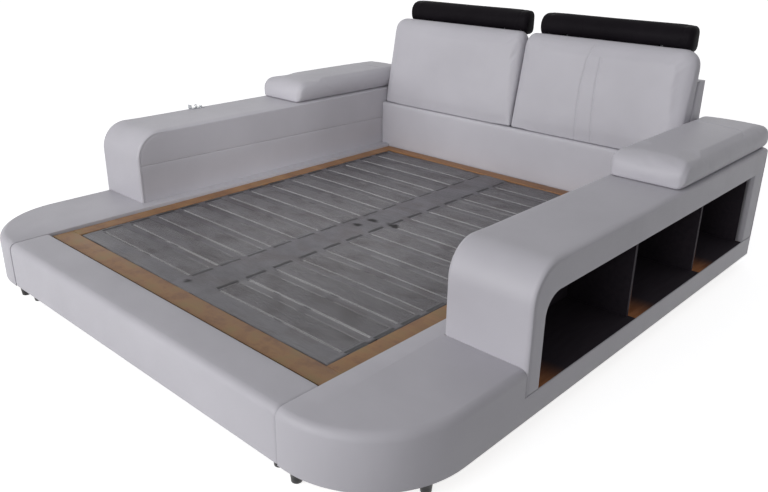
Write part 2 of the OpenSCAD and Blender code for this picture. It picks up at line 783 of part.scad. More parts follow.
module headboard_back_board() color(raw_wood) {
    inner = head_half - skin_t;
    y0 = y_rear - back_t + gap;
    translate([-inner, y0, foot_h]) cube([2 * inner, y_rear - skin_t - y0, frame_top - foot_h]);
}

// Leather over the headboard's sides, top and back
module headboard_cover() color(leather_white) {
    y_top = y_seat + slope * (head_top - ledge_z);
    difference() {
        union() both() plate(head_half - skin_t, skin_t) head_side_outline();
        both() at_ties() bolt_hole(head_half - skin_t - over, head_half + over);
    }
    translate([-head_half, y_top, frame_top]) cube([2 * head_half, y_rear - y_top, skin_t]);
    translate([-head_half, y_rear - skin_t, foot_h]) cube([2 * head_half, skin_t, frame_top - foot_h]);
    both() translate([head_half - skin_t, y_rear - back_t, foot_h])
        cube([skin_t, back_t, frame_top - foot_h]);
}

module back_cushion() color(leather_white) {
    l = head_half - cushion_gap / 2 - cushion_play;
    z0 = ledge_z + gap;
    y0 = y_seat + slope * gap - gap / cos(lean);
    translate([cushion_gap / 2 + l / 2, y0, z0]) rotate([-lean, 0, 0])
        translate([0, 0, cushion_h / 2]) rotate([90, 0, 0])
            soft_form(l, cushion_h, cushion_t, cushion_back_r, [cushion_r, cushion_r, cushion_r],
                cushion_back_r, cushion_crown, side_pull);
}

module at_hinges(side) {
    for (s = [-1, 1]) translate([side * rest_x + s * hinge_span / 2, pivot_y, pivot_z]) children();
}

module headrest_brackets() color(steel_grey) {
    for (side = [-1, 1]) at_hinges(side) difference() {
        union() {
            translate([-bracket_w / 2, -bracket_d / 2, -pivot_up]) cube([bracket_w, bracket_d, bracket_t]);
            translate([-stem_w / 2, -stem_t / 2, -pivot_up]) cube([stem_w, stem_t, pivot_up]);
            translate([-eye_l / 2, 0, 0]) rotate([0, 90, 0]) cylinder(r = hub_r, h = eye_l, $fn = round_fn);
        }
        translate([-eye_l / 2 - over, 0, 0]) rotate([0, 90, 0])
            cylinder(r = pin_r + pin_play, h = eye_l + 2 * over, $fn = round_fn);
    }
}

module headrest_hinges(side) color(steel_grey) {
    at_hinges(side) {
        for (s = [-1, 1]) translate([s * (eye_l / 2 + gap + lug_t / 2) - lug_t / 2, 0, 0]) {
            rotate([0, 90, 0]) cylinder(r = lug_r, h = lug_t, $fn = round_fn);
            translate([0, -lug_r, 0]) cube([lug_t, 2 * lug_r, bridge_up]);
        }
        translate([-hinge_l / 2, -lug_r, bridge_up - lug_t]) cube([hinge_l, 2 * lug_r, lug_t]);
        translate([-hinge_l / 2, 0, 0]) rotate([0, 90, 0]) cylinder(r = pin_r, h = hinge_l, $fn = round_fn);
    }
}

module headrest_batten(side) color(raw_wood) {
    l = rest_l - 2 * rest_r;
    translate([side * rest_x - l / 2, pivot_y - batten_t / 2, pivot_z + bridge_up])
        cube([l, batten_t, batten_h]);
}

// Slot in a headrest that lets the fixed stem through at every tilt
module stem_slot() {
    reach = rest_t;
    front = tilt_front + slot_play;
    rear = tilt_back + slot_play;
    rotate([90, 0, 90]) translate([0, 0, -eye_l / 2 - gap]) linear_extrude(eye_l + 2 * gap)
        polygon([[0, lug_r], [-reach * sin(front), -reach * cos(front)],
            [reach * sin(rear), -reach * cos(rear)]]);
}

module headrest_pad(side) color(leather_black) {
    l = rest_l - 2 * rest_r + 2 * gap;
    pocket = hinge_l + 2 * gap;
    y1 = pivot_y + rest_back + rest_t / 2;
    difference() {
        translate([side * rest_x, y1, rest_low + rest_h / 2]) rotate([90, 0, 0])
            soft_form(rest_l, rest_h, rest_t - rest_crown, rest_end_r, [rest_side_r, rest_r, rest_r],
                rest_back_r, rest_crown, 0);
        translate([side * rest_x - l / 2, pivot_y - batten_t / 2 - gap, pivot_z + bridge_up])
            cube([l, batten_t + 2 * gap, batten_h + gap]);
        at_hinges(side) {
            translate([-pocket / 2, -lug_r - gap, -lug_r - gap])
                cube([pocket, 2 * (lug_r + gap), bridge_up + lug_r + 2 * gap]);
            stem_slot();
        }
    }
}

// Bolt along X from its head at x0 to the nut beyond x1
module bolt(x0, x1) {
    l = x1 - x0;
    nut_l = bolt_head_l;
    translate([x0, 0, 0]) rotate([0, 90, 0]) {
        translate([0, 0, -bolt_head_l]) cylinder(r = bolt_head_r, h = bolt_head_l, $fn = 6);
        cylinder(r = bolt_r, h = l + nut_l + bolt_r, $fn = round_fn);
        translate([0, 0, l]) difference() {
            cylinder(r = bolt_head_r, h = nut_l, $fn = 6);
            translate([0, 0, -over]) cylinder(r = bolt_r + thread_play, h = nut_l + 2 * over, $fn = round_fn);
        }
    }
}

module frame_bolts() color(steel_grey) both() {
    at_rail_bolts() bolt(half_well - gap - block_l, half_well + skin_t + board_t);
    at_ties() bolt(head_half - board_t - skin_t, inside_in);
}

// Places of the feet on the right-hand side; the left-hand ones mirror them
foot_rail_foot = [half_well - block_l - bolt_head_l - gap - foot_top_r,
    y_front + pad_t + board_t + foot_top_r];
foot_ring = plan_r - 2 * foot_top_r;
corner_feet = [
    [half_well + skin_t + foot_top_r, y_front + pad_t + foot_top_r + foot_in],
    [corner_x + foot_ring * cos(foot_turn), corner_y - foot_ring * sin(foot_turn)]
];
arm_foot_in = beam_t + gap + foot_top_r;
arm_feet = [for (y = cross_y, x = [arm_in + arm_foot_in, board_out - arm_foot_in]) [x, y]];
head_foot = [head_foot_x, y_head + panel_t / 2];

module foot() {
    z1 = foot_h - foot_collar;
    rotate_extrude($fn = round_fn) polygon([[0, 0], [foot_low_r, 0], [foot_top_r - foot_lip, z1 - foot_lip],
        [foot_top_r, z1], [foot_top_r, foot_h], [0, foot_h]]);
}

module feet() color([0.07, 0.07, 0.08]) both() {
    for (p = concat([foot_rail_foot], corner_feet, arm_feet, [head_foot])) translate([p[0], p[1], 0]) foot();
}

foot_rail_frame();
foot_rail_cover();
left() corner_frame();  // corner_frame_left
corner_frame();  // corner_frame_right
left() plinth_cover();  // plinth_cover_left
plinth_cover();  // plinth_cover_right
left() side_rail();  // side_rail_left
side_rail();  // side_rail_right
head_rail();
left() arm_base();  // arm_base_left
arm_base();  // arm_base_right
left() arm_floor();  // arm_floor_left
arm_floor();  // arm_floor_right
left() arm_inner_board();  // arm_inner_board_left
arm_inner_board();  // arm_inner_board_right
left() arm_outer_board();  // arm_outer_board_left
arm_outer_board();  // arm_outer_board_right
left() arm_bent_board();  // arm_bent_board_left
arm_bent_board();  // arm_bent_board_right
left() arm_back_board();  // arm_back_board_left
arm_back_board();  // arm_back_board_right
left() arm_wrap();  // arm_wrap_left
arm_wrap();  // arm_wrap_right
left() arm_inner_side();  // arm_inner_side_left
arm_inner_side();  // arm_inner_side_right
left() arm_outer_side();  // arm_outer_side_left
arm_outer_side();  // arm_outer_side_right
left() shelf_box();  // shelf_box_left
shelf_box();  // shelf_box_right
left() shelf_dividers();  // shelf_dividers_left
shelf_dividers();  // shelf_dividers_right
left() arm_pad();  // arm_pad_left
arm_pad();  // arm_pad_right
chrome_fitting();
deck_frame();
centre_beam();
slats();
slat_holders();
slat_straps();
deck_ledgers();
centre_legs();
head_panel();
headboard_frame();
headboard_front_board();
headboard_slope_board();
headboard_back_board();
headboard_cover();
left() back_cushion();  // back_cushion_left
back_cushion();  // back_cushion_right
headrest_brackets();
headrest_pad(-1);  // headrest_left_pad
headrest_pad(1);  // headrest_right_pad
headrest_batten(-1);  // headrest_left_batten
headrest_batten(1);  // headrest_right_batten
headrest_hinges(-1);  // headrest_left_hinges
headrest_hinges(1);  // headrest_right_hinges
frame_bolts();
feet();
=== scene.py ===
import math
from contextlib import contextmanager

import bmesh
import bpy
import numpy as np
from mathutils import Matrix, Vector, noise
from mathutils.bvhtree import BVHTree
from mathutils.kdtree import KDTree


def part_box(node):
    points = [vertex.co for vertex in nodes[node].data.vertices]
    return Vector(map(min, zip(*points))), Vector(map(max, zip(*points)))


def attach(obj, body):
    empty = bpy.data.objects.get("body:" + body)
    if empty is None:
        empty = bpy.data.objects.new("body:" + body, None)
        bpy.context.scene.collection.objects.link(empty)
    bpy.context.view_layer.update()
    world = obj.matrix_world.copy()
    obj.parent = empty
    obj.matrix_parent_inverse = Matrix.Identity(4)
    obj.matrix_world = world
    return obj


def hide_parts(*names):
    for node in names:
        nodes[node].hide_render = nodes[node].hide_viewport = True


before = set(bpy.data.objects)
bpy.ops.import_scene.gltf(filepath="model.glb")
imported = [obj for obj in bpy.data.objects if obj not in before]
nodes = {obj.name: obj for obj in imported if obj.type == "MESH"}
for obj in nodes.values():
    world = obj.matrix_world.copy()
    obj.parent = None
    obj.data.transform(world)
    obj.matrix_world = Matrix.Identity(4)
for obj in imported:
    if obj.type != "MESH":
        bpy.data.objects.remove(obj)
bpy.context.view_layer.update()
print("bed: frame loaded,", len(nodes), "nodes")

sides = {"left": -1, "right": 1}

# places that several pieces share, read from the imported nodes, and how far the headboard leans
wrapLow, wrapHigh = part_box("arm_wrap_right")
plinthLow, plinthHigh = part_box("plinth_cover_right")
railLow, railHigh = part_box("foot_rail_cover")
panelLow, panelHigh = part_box("arm_inner_side_right")
shelfLow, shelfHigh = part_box("shelf_dividers_right")
boxLow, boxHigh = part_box("shelf_box_right")
slopeLow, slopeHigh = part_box("headboard_slope_board")
spot = {
    "armIn": wrapLow.x,
    "armOut": wrapHigh.x,
    "armFront": wrapLow.y,
    "armBack": wrapHigh.y,
    "armTop": wrapHigh.z,
    "railTop": panelLow.z,
    "underside": plinthLow.z,
    "plinthTop": plinthHigh.z,
    "pad": panelHigh.x - panelLow.x,
    "slope": math.radians(9),      # how far the headboard leans back
}


# mesh helpers

merge = {"made": 1e-6, "cad": 1e-5, "flat": 0.4}  # distances in metres, angle in degrees


def newObject(name, mesh):
    thing = bpy.data.objects.new(name, mesh)
    bpy.context.scene.collection.objects.link(thing)
    return thing


def shaded(mesh, smooth=True):
    mesh.polygons.foreach_set("use_smooth", [smooth] * len(mesh.polygons))


@contextmanager
def editing(mesh, weld=None):  # the mesh as a bmesh, written back at the end
    shape = bmesh.new()
    shape.from_mesh(mesh)
    if weld:
        bmesh.ops.remove_doubles(shape, verts=shape.verts, dist=weld)
    yield shape
    shape.to_mesh(mesh)
    shape.free()


def meshFrom(name, verts, faces, smooth=True):
    mesh = bpy.data.meshes.new(name)
    mesh.from_pydata([tuple(v) for v in verts], [], faces)
    with editing(mesh, merge["made"]) as shape:
        bmesh.ops.recalc_face_normals(shape, faces=shape.faces)
    shaded(mesh, smooth)
    return newObject(name, mesh)


def coordsOf(mesh):
    flat = np.empty(len(mesh.vertices) * 3)
    mesh.vertices.foreach_get("co", flat)
    return flat.reshape(-1, 3)


def setCoords(mesh, coords):
    mesh.vertices.foreach_set("co", np.ascontiguousarray(coords, dtype=float).ravel())
    mesh.update()


def bake(thing):  # modifiers become plain mesh
    graph = bpy.context.evaluated_depsgraph_get()
    graph.update()
    mesh = bpy.data.meshes.new_from_object(thing.evaluated_get(graph))
    thing.modifiers.clear()
    old, thing.data = thing.data, mesh
    bpy.data.meshes.remove(old)
    return thing


def dress(thing, finish, body="bed_frame", slot=None, stands=()):
    thing.data.materials.clear()
    for one in finish if isinstance(finish, (list, tuple)) else [finish]:
        thing.data.materials.append(one)
    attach(thing, body)
    if stands:
        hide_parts(*stands)
    return thing


def covered(thing, *stands):  # a piece in the pale leather, and the CAD nodes it stands for
    return dress(thing, paleLeather, slot="pale_leather", stands=stands)


def arc(start, end, steps):  # angles from start to end in degrees, without the first
    return [math.radians(start + (end - start) * k / steps) for k in range(1, steps + 1)]


def eased(share):  # 0 to 1 with soft ends
    return share * share * (3 - 2 * share)


def clamped(value):
    return min(max(value, 0.0), 1.0)


def bulge(share):  # 0 at both ends, 1 in the middle
    return 1 - (2 * share - 1) ** 2


def lofted(rings):  # a closed form through rings of points
    count, verts, faces = len(rings[0]), [p for ring in rings for p in ring], []
    last = (len(rings) - 1) * count
    for a in range(0, last, count):
        b = a + count
        faces += [(a + k, a + (k + 1) % count, b + (k + 1) % count, b + k) for k in range(count)]
    faces += [tuple(range(count - 1, -1, -1)), tuple(range(last, last + count))]
    return verts, faces


def loftedMesh(name, rings, smooth=True):
    return meshFrom(name, *lofted(rings), smooth)


def joinShapes(shapes):
    verts, faces = [], []
    for moreVerts, moreFaces in shapes:
        base = len(verts)
        verts += moreVerts
        faces += [tuple(k + base for k in one) for one in moreFaces]
    return verts, faces


def filletOutline(corners, inset, arcSteps=8, spacing=0.05):  # corners are (u, v, radius), counterclockwise
    points = [Vector(c[:2]) for c in corners]
    n = len(points)
    runs = [(points[(i + 1) % n] - points[i]) for i in range(n)]
    dirs = [r.normalized() for r in runs]
    shifted = [points[i] + Vector((-dirs[i].y, dirs[i].x)) * inset for i in range(n)]
    arcs = []
    for i in range(n):
        a, b = dirs[i - 1], dirs[i]
        cross, dot = a.x * b.y - a.y * b.x, a.dot(b)
        turn = math.atan2(cross, dot)
        side = 1 if turn > 0 else -1
        q = shifted[i] - shifted[i - 1]
        corner = shifted[i - 1] + a * ((q.x * b.y - q.y * b.x) / cross)
        radius = max(corners[i][2] - inset * side, 0.0005)
        start = corner - a * (radius * math.tan(abs(turn) / 2))
        centre = start + Vector((-a.y, a.x)) * radius * side
        spoke = start - centre
        row = []
        for k in range(arcSteps + 1):
            t = turn * k / arcSteps
            row.append(centre + Vector((spoke.x * math.cos(t) - spoke.y * math.sin(t),
                                        spoke.x * math.sin(t) + spoke.y * math.cos(t))))
        arcs.append(row)
    outline = []
    for i in range(n):
        outline += arcs[i]
        a, b = arcs[i][-1], arcs[(i + 1) % n][0]
        count = max(1, round(runs[i].length / spacing))
        outline += [a.lerp(b, k / count) for k in range(1, count)]
    return outline


def puffShape(corners, toWorld, profile, arcSteps=8):
    return lofted([[toWorld(p.x, p.y, height) for p in filletOutline(corners, inset, arcSteps)]
                   for inset, height in profile])


def bevelled(thing, width, segments=3, angle=35):
    shaded(thing.data)
    soft = thing.modifiers.new("edges", "BEVEL")
    soft.width = width
    soft.segments = segments
    soft.limit_method = "ANGLE"
    soft.angle_limit = math.radians(angle)
    soft.harden_normals = True
    soft.use_clamp_overlap = True
    return bake(thing)


def bevelledCopy(node, name, width, segments=3):
    thing = newObject(name, nodes[node].data.copy())
    with editing(thing.data, merge["cad"]) as shape:
        flat = math.radians(merge["flat"])
        bmesh.ops.dissolve_limit(shape, angle_limit=flat, verts=shape.verts, edges=shape.edges)
    return bevelled(thing, width, segments)


def cutFrom(node, low, high, name, width):  # one closed solid of a CAD node, moved to the origin, edges rounded
    thing = newObject(name, nodes[node].data.copy())
    with editing(thing.data, merge["made"]) as shape:
        away = [v for v in shape.verts
                if any(v.co[k] < low[k] - 1e-4 or v.co[k] > high[k] + 1e-4 for k in range(3))]
        bmesh.ops.delete(shape, geom=away, context="VERTS")
        bmesh.ops.dissolve_limit(shape, angle_limit=0.01, verts=shape.verts, edges=shape.edges)
        bmesh.ops.translate(shape, vec=-low, verts=shape.verts)
    return bevelled(thing, width, angle=30)


def islandsOf(node):  # the box of each closed solid in a CAD node
    shape = bmesh.new()
    shape.from_mesh(nodes[node].data)
    bmesh.ops.remove_doubles(shape, verts=shape.verts, dist=merge["made"])
    left, found = set(shape.verts), []
    while left:
        group, todo = [], [left.pop()]
        while todo:
            v = todo.pop()
            group.append(v.co.copy())
            for edge in v.link_edges:
                other = edge.other_vert(v)
                if other in left:
                    left.remove(other)
                    todo.append(other)
        found.append([Vector([f(p[k] for p in group) for k in range(3)]) for f in (min, max)])
    shape.free()
    return sorted(found, key=lambda box: (round(box[0].y, 4), box[0].x))


deckBoxes = islandsOf("deck_frame")
slatBoxes = [box for box in islandsOf("slats") if box[0].x > 0]
pocketBoxes = [box for box in islandsOf("slat_holders") if box[0].x > 0]
outerPockets = [box for box in pocketBoxes if box[0].x > 0.2]
deckSpot = {  # clear space inside the frame, and one row of slats on the right
    "inX": abs(deckBoxes[1][1].x),
    "inFront": deckBoxes[0][1].y,
    "inBack": deckBoxes[-1][0].y,
    "slatFront": slatBoxes[0][0].y,
    "slatBack": slatBoxes[-1][1].y,
    "slatWide": slatBoxes[0][1].y - slatBoxes[0][0].y,
    "pitch": slatBoxes[1][0].y - slatBoxes[0][0].y,
    "innerPockets": [box for box in pocketBoxes if box[0].x < 0.2],
    "outerPockets": outerPockets,
    "pocketOut": min(box[0].x for box in outerPockets),
}


# materials; a colour of three numbers is sRGB, a colour of four is linear

def srgb(*tone):
    if len(tone) == 4:
        return tone
    return tuple((c / 255 / 12.92) if c / 255 <= 0.04045 else ((c / 255 + 0.055) / 1.055) ** 2.4
                 for c in tone) + (1,)


def setInputs(tree, node, inputs):
    for key, value in inputs.items():
        if isinstance(value, bpy.types.NodeSocket):
            tree.links.new(value, node.inputs[key])
        else:
            node.inputs[key].default_value = value


def addNode(tree, kind, inputs=None, **settings):
    node = tree.nodes.new(kind)
    for key, value in settings.items():
        setattr(node, key, value)
    setInputs(tree, node, inputs or {})
    return node


def calc(tree, operation, *values):
    return addNode(tree, "ShaderNodeMath", dict(enumerate(values)), operation=operation).outputs[0]


def mapped(tree, value, source, target, **settings):  # a value brought from one range to another
    given = {"Value": value, "From Min": source[0], "From Max": source[1],
             "To Min": target[0], "To Max": target[1]}
    return addNode(tree, "ShaderNodeMapRange", given, **settings).outputs["Result"]


def mixed(tree, factor, first, second):
    tones = [one if isinstance(one, bpy.types.NodeSocket) else srgb(*one) for one in (first, second)]
    return addNode(tree, "ShaderNodeMix", {"Factor": factor, "A": tones[0], "B": tones[1]},
                   data_type="RGBA").outputs["Result"]


def bumped(tree, *layers):  # layers of (height, strength, distance), each on the one before
    normal = {}
    for height, strength, distance in layers:
        node = addNode(tree, "ShaderNodeBump",
                       {"Height": height, "Strength": strength, "Distance": distance, **normal})
        normal = {"Normal": node.outputs["Normal"]}
    return normal["Normal"]


def ramp(tree, fac, stops):
    node = addNode(tree, "ShaderNodeValToRGB", {"Fac": fac})
    band = node.color_ramp
    while len(band.elements) < len(stops):
        band.elements.new(0.5)
    for element, (at, colour) in zip(band.elements, stops):
        element.position = at
        element.color = srgb(*colour)
    return node.outputs["Color"]


def noiseOf(tree, place, scale, detail=3, rough=0.5):
    return addNode(tree, "ShaderNodeTexNoise",
                   {"Vector": place, "Scale": scale, "Detail": detail, "Roughness": rough}).outputs["Fac"]


def stretch(tree, place, scale):
    return addNode(tree, "ShaderNodeMapping", {"Vector": place, "Scale": scale}).outputs["Vector"]


def axes(tree, place):
    return addNode(tree, "ShaderNodeSeparateXYZ", {"Vector": place}).outputs


def emptyMaterial(name):
    material = bpy.data.materials.new(name)
    material.use_nodes = True
    material.node_tree.nodes.clear()
    return material, material.node_tree


def startMaterial(name):
    material, tree = emptyMaterial(name)
    shader = addNode(tree, "ShaderNodeBsdfPrincipled")
    addNode(tree, "ShaderNodeOutputMaterial", {"Surface": shader.outputs["BSDF"]})
    return material, tree, shader, addNode(tree, "ShaderNodeTexCoord").outputs["Object"]


def leather(name, tones, roughness, grain, waves):
    material, tree, shader, place = startMaterial(name)
    patch = noiseOf(tree, place, grain["patch"], 4)
    cells = addNode(tree, "ShaderNodeTexVoronoi", {"Vector": place, "Scale": grain["cells"]},
                    feature="DISTANCE_TO_EDGE").outputs["Distance"]
    pores = noiseOf(tree, place, grain["pores"], 5, 0.6)
    wave = noiseOf(tree, place, waves["scale"], 2, 0.45)
    crease = noiseOf(tree, stretch(tree, place, waves["stretch"]), waves["creaseScale"], 3, 0.5)
    setInputs(tree, shader, {
        "Base Color": ramp(tree, patch, [(0.3, tones[0]), (0.5, tones[1]), (0.72, tones[2])]),
        "Roughness": mapped(tree, pores, (0.3, 0.7), roughness),
        "Normal": bumped(tree, (wave, waves["strength"], waves["distance"]),
                         (crease, waves["creaseStrength"], waves["creaseDistance"]),
                         (cells, grain["strength"], grain["distance"]), (pores, 0.25, grain["distance"])),
        "Specular IOR Level": grain["gloss"]})
    return material


paleLeather = leather(
    "paleLeather", [(181, 179, 185), (187, 185, 191), (192, 190, 196)], (0.42, 0.55),
    {"patch": 2.2, "cells": 620, "pores": 180, "strength": 0.35, "distance": 0.0004, "gloss": 0.42},
    {"scale": 4.5, "strength": 0.55, "distance": 0.012, "stretch": (1, 1, 1), "creaseScale": 17,
     "creaseStrength": 0.25, "creaseDistance": 0.003})
blackLeather = leather(
    "blackLeather", [(17, 14, 18), (20, 17, 21), (25, 22, 26)], (0.42, 0.56),
    {"patch": 6, "cells": 560, "pores": 150, "strength": 0.4, "distance": 0.0004, "gloss": 0.04},
    {"scale": 9, "strength": 0.5, "distance": 0.008, "stretch": (0.6, 1, 1), "creaseScale": 24,
     "creaseStrength": 0.3, "creaseDistance": 0.002})

grain = {"squeeze": 0.06, "bands": 9, "streaks": 90, "depth": 0.0006}


def wood(name, along, tones, roughness=0.5, extra=None):  # along is the axis that the grain follows
    material, tree, shader, place = startMaterial(name)
    lengthwise = stretch(tree, place, tuple(grain["squeeze"] if k == along else 1.0 for k in range(3)))
    wander = noiseOf(tree, lengthwise, grain["bands"], 4, 0.55)
    streak = noiseOf(tree, lengthwise, grain["streaks"], 5, 0.65)
    both = calc(tree, "MULTIPLY", calc(tree, "ADD", wander, streak), 0.5)
    colour = ramp(tree, both, [(0.36, tones[0]), (0.5, tones[1]), (0.64, tones[2])])
    setInputs(tree, shader, {
        "Base Color": extra(tree, place, colour) if extra else colour,
        "Roughness": mapped(tree, streak, (0, 1), (roughness - 0.1, roughness + 0.15)),
        "Normal": bumped(tree, (streak, 0.4, grain["depth"]))})
    return material


def mottleAndFrontShade(tree, place, colour):  # the front bar is blotchy in its own tone, and darker towards the front from painted shade
    dark = ramp(tree, noiseOf(tree, place, 14, 4, 0.6), [(0.35, (112, 80, 56)), (0.5, (136, 102, 68)),
                                                         (0.66, (128, 108, 68))])
    # painted shade: darker towards the front, next to the foot rail
    front = mapped(tree, axes(tree, place)["Y"], (-0.95, 0.9), (0.75, 0.1))
    return mixed(tree, front, colour, dark)


deckTones = [(120, 82, 51), (146, 103, 65), (168, 126, 83)]
frameTones = [(176, 140, 96), (198, 164, 118), (214, 184, 140)]
slatTones = [(118, 112, 108), (134, 129, 126), (146, 141, 138)]
edgeTones = [(186, 180, 172), (202, 197, 190), (216, 211, 205)]
deckWoodAcross = wood("deckWoodAcross", 0, deckTones, extra=mottleAndFrontShade)
deckWoodAlong = wood("deckWoodAlong", 1, deckTones)
frameWoodAcross = wood("frameWoodAcross", 0, frameTones, 0.65)
frameWoodAlong = wood("frameWoodAlong", 1, frameTones, 0.65)
slatWood = wood("slatWood", 0, slatTones, 0.55)
slatEdge = wood("slatEdge", 0, edgeTones)
beamWood = wood("beamWood", 1, slatTones, 0.6)


def speckled(name, tones, roughness, scale, metallic=0.0, bump=0.3, squeeze=None):
    material, tree, shader, place = startMaterial(name)
    if squeeze:
        place = stretch(tree, place, squeeze)
    spots = noiseOf(tree, place, scale, 5, 0.6)
    cloud = noiseOf(tree, place, scale / 40, 3, 0.5)
    setInputs(tree, shader, {
        "Base Color": ramp(tree, cloud, [(0.3, tones[0]), (0.7, tones[1])]),
        "Roughness": mapped(tree, spots, (0.3, 0.7), roughness),
        "Normal": bumped(tree, (spots, bump, 0.0003)),
        "Metallic": metallic})
    return material


blackPlastic = speckled("blackPlastic", [(26, 26, 28), (36, 36, 38)], (0.4, 0.55), 500)
footPlastic = speckled("footPlastic", [(20, 19, 20), (30, 29, 30)], (0.35, 0.5), 420)
steel = speckled("steel", [(150, 152, 156), (176, 178, 182)], (0.25, 0.4), 300, 1.0, 0.15, (1, 0.1, 1))
chrome = speckled("chrome", [(150, 152, 156), (184, 186, 190)], (0.08, 0.22), 200, 1.0, 0.1)


def webbingMaterial():
    material, tree, shader, place = startMaterial("webbing")
    warp, weft = [addNode(tree, "ShaderNodeTexWave", {"Vector": place, "Scale": scale, "Distortion": wander},
                          bands_direction=axis).outputs["Fac"]
                  for scale, wander, axis in ((160, 1.5, "X"), (110, 1.0, "Y"))]
    weave = calc(tree, "MULTIPLY", warp, weft)
    setInputs(tree, shader, {"Base Color": ramp(tree, weave, [(0.1, (44, 42, 43)), (0.8, (66, 64, 65))]),
                             "Normal": bumped(tree, (weave, 0.6, 0.0008)), "Roughness": 0.8})
    return material


webbing = webbingMaterial()

shelf = {"glowWide": 0.17, "glowHigh": 0.14, "board": 0.015, "line": 0.002}


def shelfBoard():  # near-black laminate, warm brown where each compartment's front lower corner catches light
    material, tree, shader, place = startMaterial("shelfBoard")
    parts = axes(tree, place)
    soft = {"interpolation_type": "SMOOTHSTEP"}
    glow = 0.0
    for start in (boxLow.y + shelf["board"], shelfLow.y + shelf["board"], shelfHigh.y):
        near = mapped(tree, parts["Y"], (start, start + shelf["glowWide"]), (1.0, 0.0), **soft)
        begun = calc(tree, "GREATER_THAN", parts["Y"], start - shelf["line"])
        glow = calc(tree, "MAXIMUM", glow, calc(tree, "MULTIPLY", near, begun))
    low = mapped(tree, parts["Z"], (spot["railTop"], spot["railTop"] + shelf["glowHigh"]), (1.0, 0.0), **soft)
    streak = noiseOf(tree, stretch(tree, place, (1, 0.15, 1)), 60, 4, 0.6)
    dark = ramp(tree, streak, [(0.3, (46, 41, 47)), (0.7, (54, 49, 55))])
    warm = ramp(tree, streak, [(0.3, (168, 108, 70)), (0.7, (198, 138, 94))])
    setInputs(tree, shader, {"Base Color": mixed(tree, calc(tree, "MULTIPLY", glow, low), dark, warm),
                             "Roughness": 0.6, "Specular IOR Level": 0.08,
                             "Normal": bumped(tree, (streak, 0.2, 0.0003))})
    return material


blackBoard = shelfBoard()

filmLook = {  # how much the sheet hides: over the slats, the gaps, the front edges and all round; it hides more over the gaps, as painted shade of the space under the slats
    "overSlat": (0.55, 0.55, 0.55, 1), "overGap": (0.88, 0.88, 0.88, 1), "overEdge": (0.24, 0.24, 0.24, 1),
    "overBeam": (0.93, 0.93, 0.93, 1), "blotch": (0.75, 0.75, 0.75, 1),
    "edge": 0.0085,              # width of the front edge that shows
    "slatX": (0.0925, 0.703),    # from holder to holder
}


def filmMaterial():  # thin plastic sheet: it clings to the slats and shows their front edges; it is darker over the gaps, painted shade of the space below, and has painted shade at its tears
    material, tree, shader, place = startMaterial("film")
    parts, look, pitch = axes(tree, place), filmLook, deckSpot["pitch"]
    moved = calc(tree, "SUBTRACT", parts["Y"], deckSpot["slatFront"] - look["edge"])
    share = calc(tree, "DIVIDE", calc(tree, "FLOORED_MODULO", moved, pitch), pitch)
    edge = look["edge"] / pitch
    wide = edge + deckSpot["slatWide"] / pitch
    veil = ramp(tree, share, [(0.0, look["overEdge"]), (edge - 0.015, look["overEdge"]),
                              (edge + 0.012, look["overSlat"]), (wide - 0.03, look["overSlat"]),
                              (wide + 0.02, look["overGap"]), (0.985, look["overGap"]),
                              (1.0, look["overEdge"])])
    # the sheet's colour: lighter over the slats, darker over the gaps as painted shade of the space below
    tones = ramp(tree, share, [(edge, (120, 117, 121)), (wide - 0.06, (114, 112, 115)),
                               (wide + 0.05, (101, 99, 103)), (0.97, (98, 96, 100))])
    inside = calc(tree, "MULTIPLY", calc(tree, "GREATER_THAN", moved, 0.0),
                  calc(tree, "LESS_THAN", parts["Y"], deckSpot["slatBack"]))
    apart = calc(tree, "ABSOLUTE", parts["X"])
    onSlat = calc(tree, "MULTIPLY", calc(tree, "GREATER_THAN", apart, look["slatX"][0]),
                  calc(tree, "LESS_THAN", apart, look["slatX"][1]))
    veil = mixed(tree, onSlat, look["overBeam"], mixed(tree, inside, look["overGap"], veil))
    tones = mixed(tree, calc(tree, "MULTIPLY", onSlat, inside), (101, 99, 104), tones)
    damp = noiseOf(tree, stretch(tree, place, (1, 1.5, 1)), 7.5, 4, 0.55)
    tones = mixed(tree, ramp(tree, damp, [(0.48, (0, 0, 0, 1)), (0.64, look["blotch"])]), tones, (84, 78, 81))
    # near-black marks painted on the sheet: the shade below, seen through its tears
    tearShade = addNode(tree, "ShaderNodeAttribute", attribute_name="tearShade").outputs["Fac"]
    cloud = noiseOf(tree, stretch(tree, place, (0.8, 2.0, 1)), 5.5, 4, 0.6)
    milk = mapped(tree, cloud, (0.3, 0.7), (0.86, 1.12))
    ripple = noiseOf(tree, stretch(tree, place, (0.35, 2.4, 1)), 22, 5, 0.62)
    fine = noiseOf(tree, stretch(tree, place, (1.2, 3.0, 1)), 70, 4, 0.6)
    setInputs(tree, shader, {
        "Alpha": calc(tree, "MAXIMUM", calc(tree, "MULTIPLY", veil, milk), tearShade),
        "Base Color": mixed(tree, tearShade, tones, (12, 10, 11)),
        "Normal": bumped(tree, (ripple, 0.6, 0.008), (fine, 0.4, 0.002)),
        "Roughness": mapped(tree, tearShade, (0, 1), (0.32, 0.9))})
    return material


film = filmMaterial()
print("bed: materials made")


